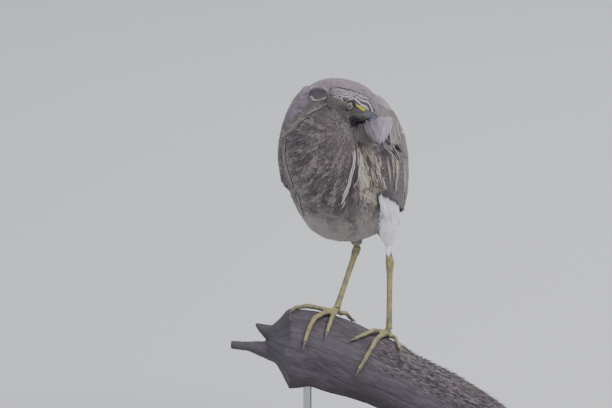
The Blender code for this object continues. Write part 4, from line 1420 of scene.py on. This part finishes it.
# How far from the eye's front the pupil, the iris's middle and the iris end, in mm.
PUPIL_EDGE, RIM_EDGE, IRIS_EDGE = (2.2, 2.8), (3.2, 3.9), (3.9, 4.3)


def eye_material():
    """Pupil, dull iris with a dark rim and fine rays, and the eye's dark white round it."""
    tree = Tree("eye", 0.15)
    across, turn, _ = tree.parts("gaze")
    rays = tree.noise(tree.vector(tree.times(turn, 6.0), tree.times(across, 0.6), 0.0), 1.5)
    iris = tree.mix(tree.mix(IRIS, IRIS_RAYS, rays), IRIS_RIM, tree.ramp(across, *RIM_EDGE))
    colour = tree.mix(PUPIL, iris, tree.ramp(across, *PUPIL_EDGE))
    colour = tree.mix(colour, EYE_WHITE, tree.ramp(across, *IRIS_EDGE))
    return tree.finish(colour, Specular_IOR_Level=0.3, Coat_Weight=0.3, Coat_Roughness=0.03)


CORNEA_BULGE = 0.035


def add_eye(side, sign, material):
    """An eyeball with its cornea, looking outwards and a little to the rear."""
    gaze = unit(HEAD_LEFT * sign + HEAD_UP * 0.02 - HEAD_FORWARD * 0.30)
    shape = bmesh.new()
    bmesh.ops.create_uvsphere(shape, u_segments=48, v_segments=32, radius=1)
    mesh = mesh_from(shape, f"eye_{side}")
    ball = mesh_points(mesh)
    angle = np.arccos(np.clip(ball[:, 2], -1, 1))
    turn = np.arctan2(ball[:, 1], ball[:, 0])
    store(mesh, "gaze", np.column_stack([angle * EYE_RADIUS / MM, turn, turn * 0]))
    radius = EYE_RADIUS * (1 + CORNEA_BULGE * bump_at(angle, 0, 0.5))
    right = unit(np.cross(HEAD_UP, gaze))
    axes = np.stack([right, np.cross(gaze, right), gaze])
    set_points(mesh, EYES[side] + ball @ axes * radius[:, None])
    mesh.shade_smooth()
    add_piece(f"eyeball_{side}", mesh, material, "eye", f"eye_{side}")


NOSTRIL_AHEAD = 9.0
NOSTRIL_UP = 1.9
BILL_VOXEL, CLAW_VOXEL = 0.3 * MM, 0.22 * MM
BILL_BLUE = (0.145, 0.162, 0.215, 1)
BILL_MIDDLE = (0.18, 0.18, 0.17, 1)
BILL_BLACK = (0.020, 0.019, 0.030, 1)
BILL_RIDGE = (0.07, 0.085, 0.12, 1)
BILL_UNDER = (0.085, 0.078, 0.075, 1)


def bill_material():
    """Blue at the base, through horn to black at the tip, with a brown underside and a bluish ridge."""
    tree = Tree("bill", 0.34)
    ahead, rise, _ = tree.parts("bill")
    wear = tree.noise(tree.place(), 260.0, 4.0)
    colour = tree.mix(BILL_BLUE, BILL_MIDDLE, tree.ramp(ahead, 8.0, 18.0))
    length = BILL_LENGTH / MM
    colour = tree.mix(colour, BILL_BLACK, tree.ramp(tree.fit(wear, 6.0, ahead), length * 0.52, length * 0.80))
    colour = tree.mix(colour, BILL_UNDER, tree.times(tree.ramp(rise, 0.8, -0.8), tree.ramp(ahead, 13.0, 8.0)))
    colour = tree.mix(colour, BILL_RIDGE, tree.times(tree.ramp(rise, 1.2, 3.4), 0.6))
    tree.bump(wear, 0.25, 0.1 * MM)
    return tree.finish(tree.scaled(colour, tree.fit(wear, 0.5, 0.75)))


def add_bill():
    """Both halves of the bill as smooth horn, with the nostrils' slits and the grooves that run on."""
    material = bill_material()
    for name in ("bill_upper", "bill_lower"):
        mesh, _ = smooth_copy([name], 0.0, BILL_VOXEL, 2)
        points, normals = mesh_points(mesh), mesh_normals(mesh)
        offset = (points - BILL_BASE) / MM
        ahead, rise, aside = (dot(offset, axis) for axis in (BILL_DIRECTION, BILL_UP, HEAD_LEFT))
        if name == "bill_upper":
            slit = 0.55 * bump_at(ahead, NOSTRIL_AHEAD, 2.6) * bump_at(rise, NOSTRIL_UP, 0.45)
            groove = 0.22 * bump_at(rise, NOSTRIL_UP, 0.5) * band(ahead, 6, 9, 24, 36)
            sunk = np.maximum(slit, groove) * (np.abs(aside) > 0.8)
            set_points(mesh, points - normals * (sunk * MM)[:, None])
        store(mesh, "bill", np.column_stack([ahead, rise, aside]))
        add_piece(f"horn_{name}", mesh, material, "bill_horn", name)


CLAW_DARK, CLAW_PALE = (0.10, 0.085, 0.06, 1), (0.17, 0.15, 0.11, 1)


def add_claws():
    tree = Tree("claw", 0.4)
    grain = tree.noise(tree.place(), 700.0)
    tree.bump(grain, 0.3, 0.08 * MM)
    material = tree.finish(tree.mix(CLAW_DARK, CLAW_PALE, grain))
    for side in SIDES:
        for toe in ("inner", "middle", "outer", "hind"):
            name = f"claw_{side}_{toe}"
            mesh, _ = smooth_copy([name], 0.0, CLAW_VOXEL, 2)
            add_piece(f"horn_{name}", mesh, material, "claw_horn", name)


# ---- driftwood perch and stand


def perch_axis():
    points = node_points("perch")
    centred = points - points.mean(0)
    axis = np.linalg.svd(centred, full_matrices=False)[2][0]
    return unit(axis * np.sign(axis[0]))


def perch_coordinates(points):
    """Along, outwards and round the log, in mm and radians."""
    axis = perch_axis()
    offset = (points - node_centre("perch")) / MM
    along = dot(offset, axis)
    ring = offset - along[:, None] * axis
    side = unit(np.cross(axis, UP))
    top = np.cross(side, axis)
    return along, np.linalg.norm(ring, axis=1), np.arctan2(dot(ring, side), dot(ring, top))


WOOD_DARK, WOOD_PALE = (0.072, 0.060, 0.074, 1), (0.125, 0.108, 0.124, 1)
WOOD_GREY = (0.088, 0.074, 0.090, 1)
BARK_DARK, BARK_PALE = (0.050, 0.041, 0.046, 1), (0.210, 0.176, 0.188, 1)


def wood_material():
    """Weathered purple-grey driftwood: fine fibres along the log, with more contrast where bark is left."""
    tree = Tree("driftwood", 0.82)
    along, turn, cut = tree.parts("wood")
    fibres = tree.noise(tree.vector(tree.times(along, 0.035), tree.times(turn, 9.0), 0.0), 3.0, 6.0, 0.65)
    broad = tree.noise(tree.vector(tree.times(along, 0.02), turn, 3.0), 2.0)
    colour = tree.mix(WOOD_DARK, WOOD_PALE, tree.ramp(fibres, 0.35, 0.70))
    colour = tree.mix(colour, WOOD_GREY, tree.times(broad, 0.6))
    barked = tree.mix(BARK_DARK, BARK_PALE, tree.ramp(fibres, 0.38, 0.66))
    colour = tree.mix(colour, barked, tree.attribute("bark"))
    tree.bump(fibres, 0.4, 0.8 * MM)
    return tree.finish(tree.scaled(colour, tree.fit(cut, -0.3, 1.05)))


PERCH_VOXEL = 1.3 * MM
# The wood grain's size along the log in mm, and how often it changes round the log, per radian.
GRAIN_LENGTH, GRAIN_TURNS = 34, 4.5


def add_perch():
    """The log with cracks and grooves along its grain, and its bark torn into fibres on the upper right."""
    mesh, net = smooth_copy(["perch"], 0.0, PERCH_VOXEL, 1)
    points, normals = mesh_points(mesh), mesh_normals(mesh)
    along, out, turn = perch_coordinates(points)
    grain = np.column_stack([along / GRAIN_LENGTH, turn * GRAIN_TURNS, along * 0])
    broad = field(grain)
    cracks = ramp(np.abs(field(grain * [1, 1.6, 1] + 5)), 0.22, 0.0)
    fine = field(grain * [2, 4, 1] + 11)
    toes = np.vstack([node_points(name)[::9] for name in ("foot_left", "foot_right")])
    feet = np.min([np.linalg.norm(points - p, axis=1) for p in toes], axis=0) / MM
    clear = mix(0.25, 1.0, ramp(feet, 4, 12))
    sunk = (0.6 * ramp(broad, 0.1, -0.5) + 0.4 * cracks * ramp(broad, 0.2, -0.2) + 0.1 * np.abs(fine)) * clear
    set_points(mesh, points - normals * (sunk * MM)[:, None])
    end = ramp(np.abs(dot(normals, perch_axis())), 0.55, 0.8)
    bark = ramp(along + 22 * broad, -25, 15) * ramp(np.abs(turn - 0.05) + 0.35 * fine, 0.9, 0.6) * (1 - end)
    store(mesh, "wood", np.column_stack([mix(along, out * 12, end), turn * (1 - end), cracks]))
    store(mesh, "bark", bark)
    add_piece("driftwood", mesh, wood_material(), "driftwood", "perch")
    add_bark_fibres(Surface(mesh, net), bark, feet)


FIBRE_SPACING = 1.9 * MM
FIBRE_DARK = (0.055, 0.045, 0.050)
FIBRE_PALE = (0.235, 0.195, 0.212)


def add_bark_fibres(surface, bark, feet):
    """Torn strips of bark along the log, clear of the feet."""
    surface.flow = surface.tangent(np.tile(perch_axis(), (len(surface.points), 1)))
    wanted = (bark > 0.35) & (feet > 5) & (surface.normals[:, 2] > 0.1)
    roots, triangle = scattered(surface, np.full(len(surface.points), FIBRE_SPACING), wanted)
    count = len(roots)
    flow = surface.at(surface.flow, triangle)
    wander = np.cross(surface.at(surface.normals, triangle), flow) * draw.normal(0, 0.3, (count, 1))
    web = colour_mix(FIBRE_DARK, FIBRE_PALE, draw.random(count) ** 2)
    fibres = Feathers(
        surface, roots, unit(flow + wander), web, web * 1.2,
        length=draw.uniform(3, 8, count) * MM, half_width=draw.uniform(0.25, 0.55, count) * MM,
        depth=0.5 * MM, lift=draw.uniform(0.0, 2.8, count) * MM, point=1.0,
    )
    feather_piece("bark_fibres", fibres, "driftwood")


STAIN_DARK, STAIN_PALE = (0.040, 0.024, 0.016, 1), (0.105, 0.062, 0.040, 1)
STAIN_RINGS = (0.060, 0.036, 0.024, 1)
STEEL_DARK, STEEL_PALE = (0.42, 0.43, 0.45, 1), (0.55, 0.56, 0.58, 1)


def stained_wood_material():
    tree = Tree("stained_wood", 0.38)
    grain = tree.noise(tree.place((8.0, 90.0, 90.0)), 1.6, 5.0)
    rings = tree.noise(tree.place((3.0, 26.0, 26.0)), 1.2, 2.0)
    colour = tree.mix(STAIN_DARK, STAIN_PALE, tree.ramp(grain, 0.35, 0.68))
    colour = tree.mix(colour, STAIN_RINGS, tree.times(rings, 0.6))
    tree.bump(grain, 0.12, 0.2 * MM)
    return tree.finish(colour, Coat_Weight=0.25)


def steel_material():
    tree = Tree("steel", 0.32)
    lines = tree.noise(tree.place((40.0, 40.0, 2600.0)), 1.0, 2.0)
    tree.bump(lines, 0.08, 0.05 * MM)
    colour = tree.mix(STEEL_DARK, STEEL_PALE, lines)
    return tree.finish(colour, Metallic=1.0, Roughness=tree.ramp(lines, 0.2, 0.8, 0.24, 0.40))


BASE_ROUNDING = 2.5 * MM


def add_stand():
    """The base with softly rounded edges, and the rods in brushed steel."""
    low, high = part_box("stand_base")
    shape = bmesh.new()
    bmesh.ops.create_cube(shape, size=1)
    for vertex in shape.verts:
        vertex.co = [mix(a, b, v + 0.5) for a, b, v in zip(low, high, vertex.co)]
    bmesh.ops.bevel(shape, geom=shape.edges[:], offset=BASE_ROUNDING, segments=5, profile=0.5, affect="EDGES")
    mesh = mesh_from(shape, "base")
    mesh.shade_smooth()
    add_piece("base_block", mesh, stained_wood_material(), "stained_wood", "stand_base")
    steel = steel_material()
    for name in ("stand_rod_left", "stand_rod_right"):
        NODES[name].data.materials.clear()
        NODES[name].data.materials.append(steel)


# ---- build


def main():
    add_camera()
    add_studio()
    add_floor()
    hull = Hull()
    sizes = plumage_sizes(hull)
    depth = np.minimum(sizes[:, 2], DEPTH_SHARE * thickness_below(hull))
    depth = np.maximum(hull.net.soften(depth, 4), LEAST_DEPTH)
    add_coat(hull, sizes, depth)
    for add in (add_flight_feathers, add_tail_feathers, add_back_feathers, add_plumes, add_ruffled_feathers):
        add(hull)
    add_skin(hull, depth)
    eye = eye_material()
    add_eye("left", 1, eye)
    add_eye("right", -1, eye)
    add_bill()
    add_claws()
    add_perch()
    add_stand()


main()
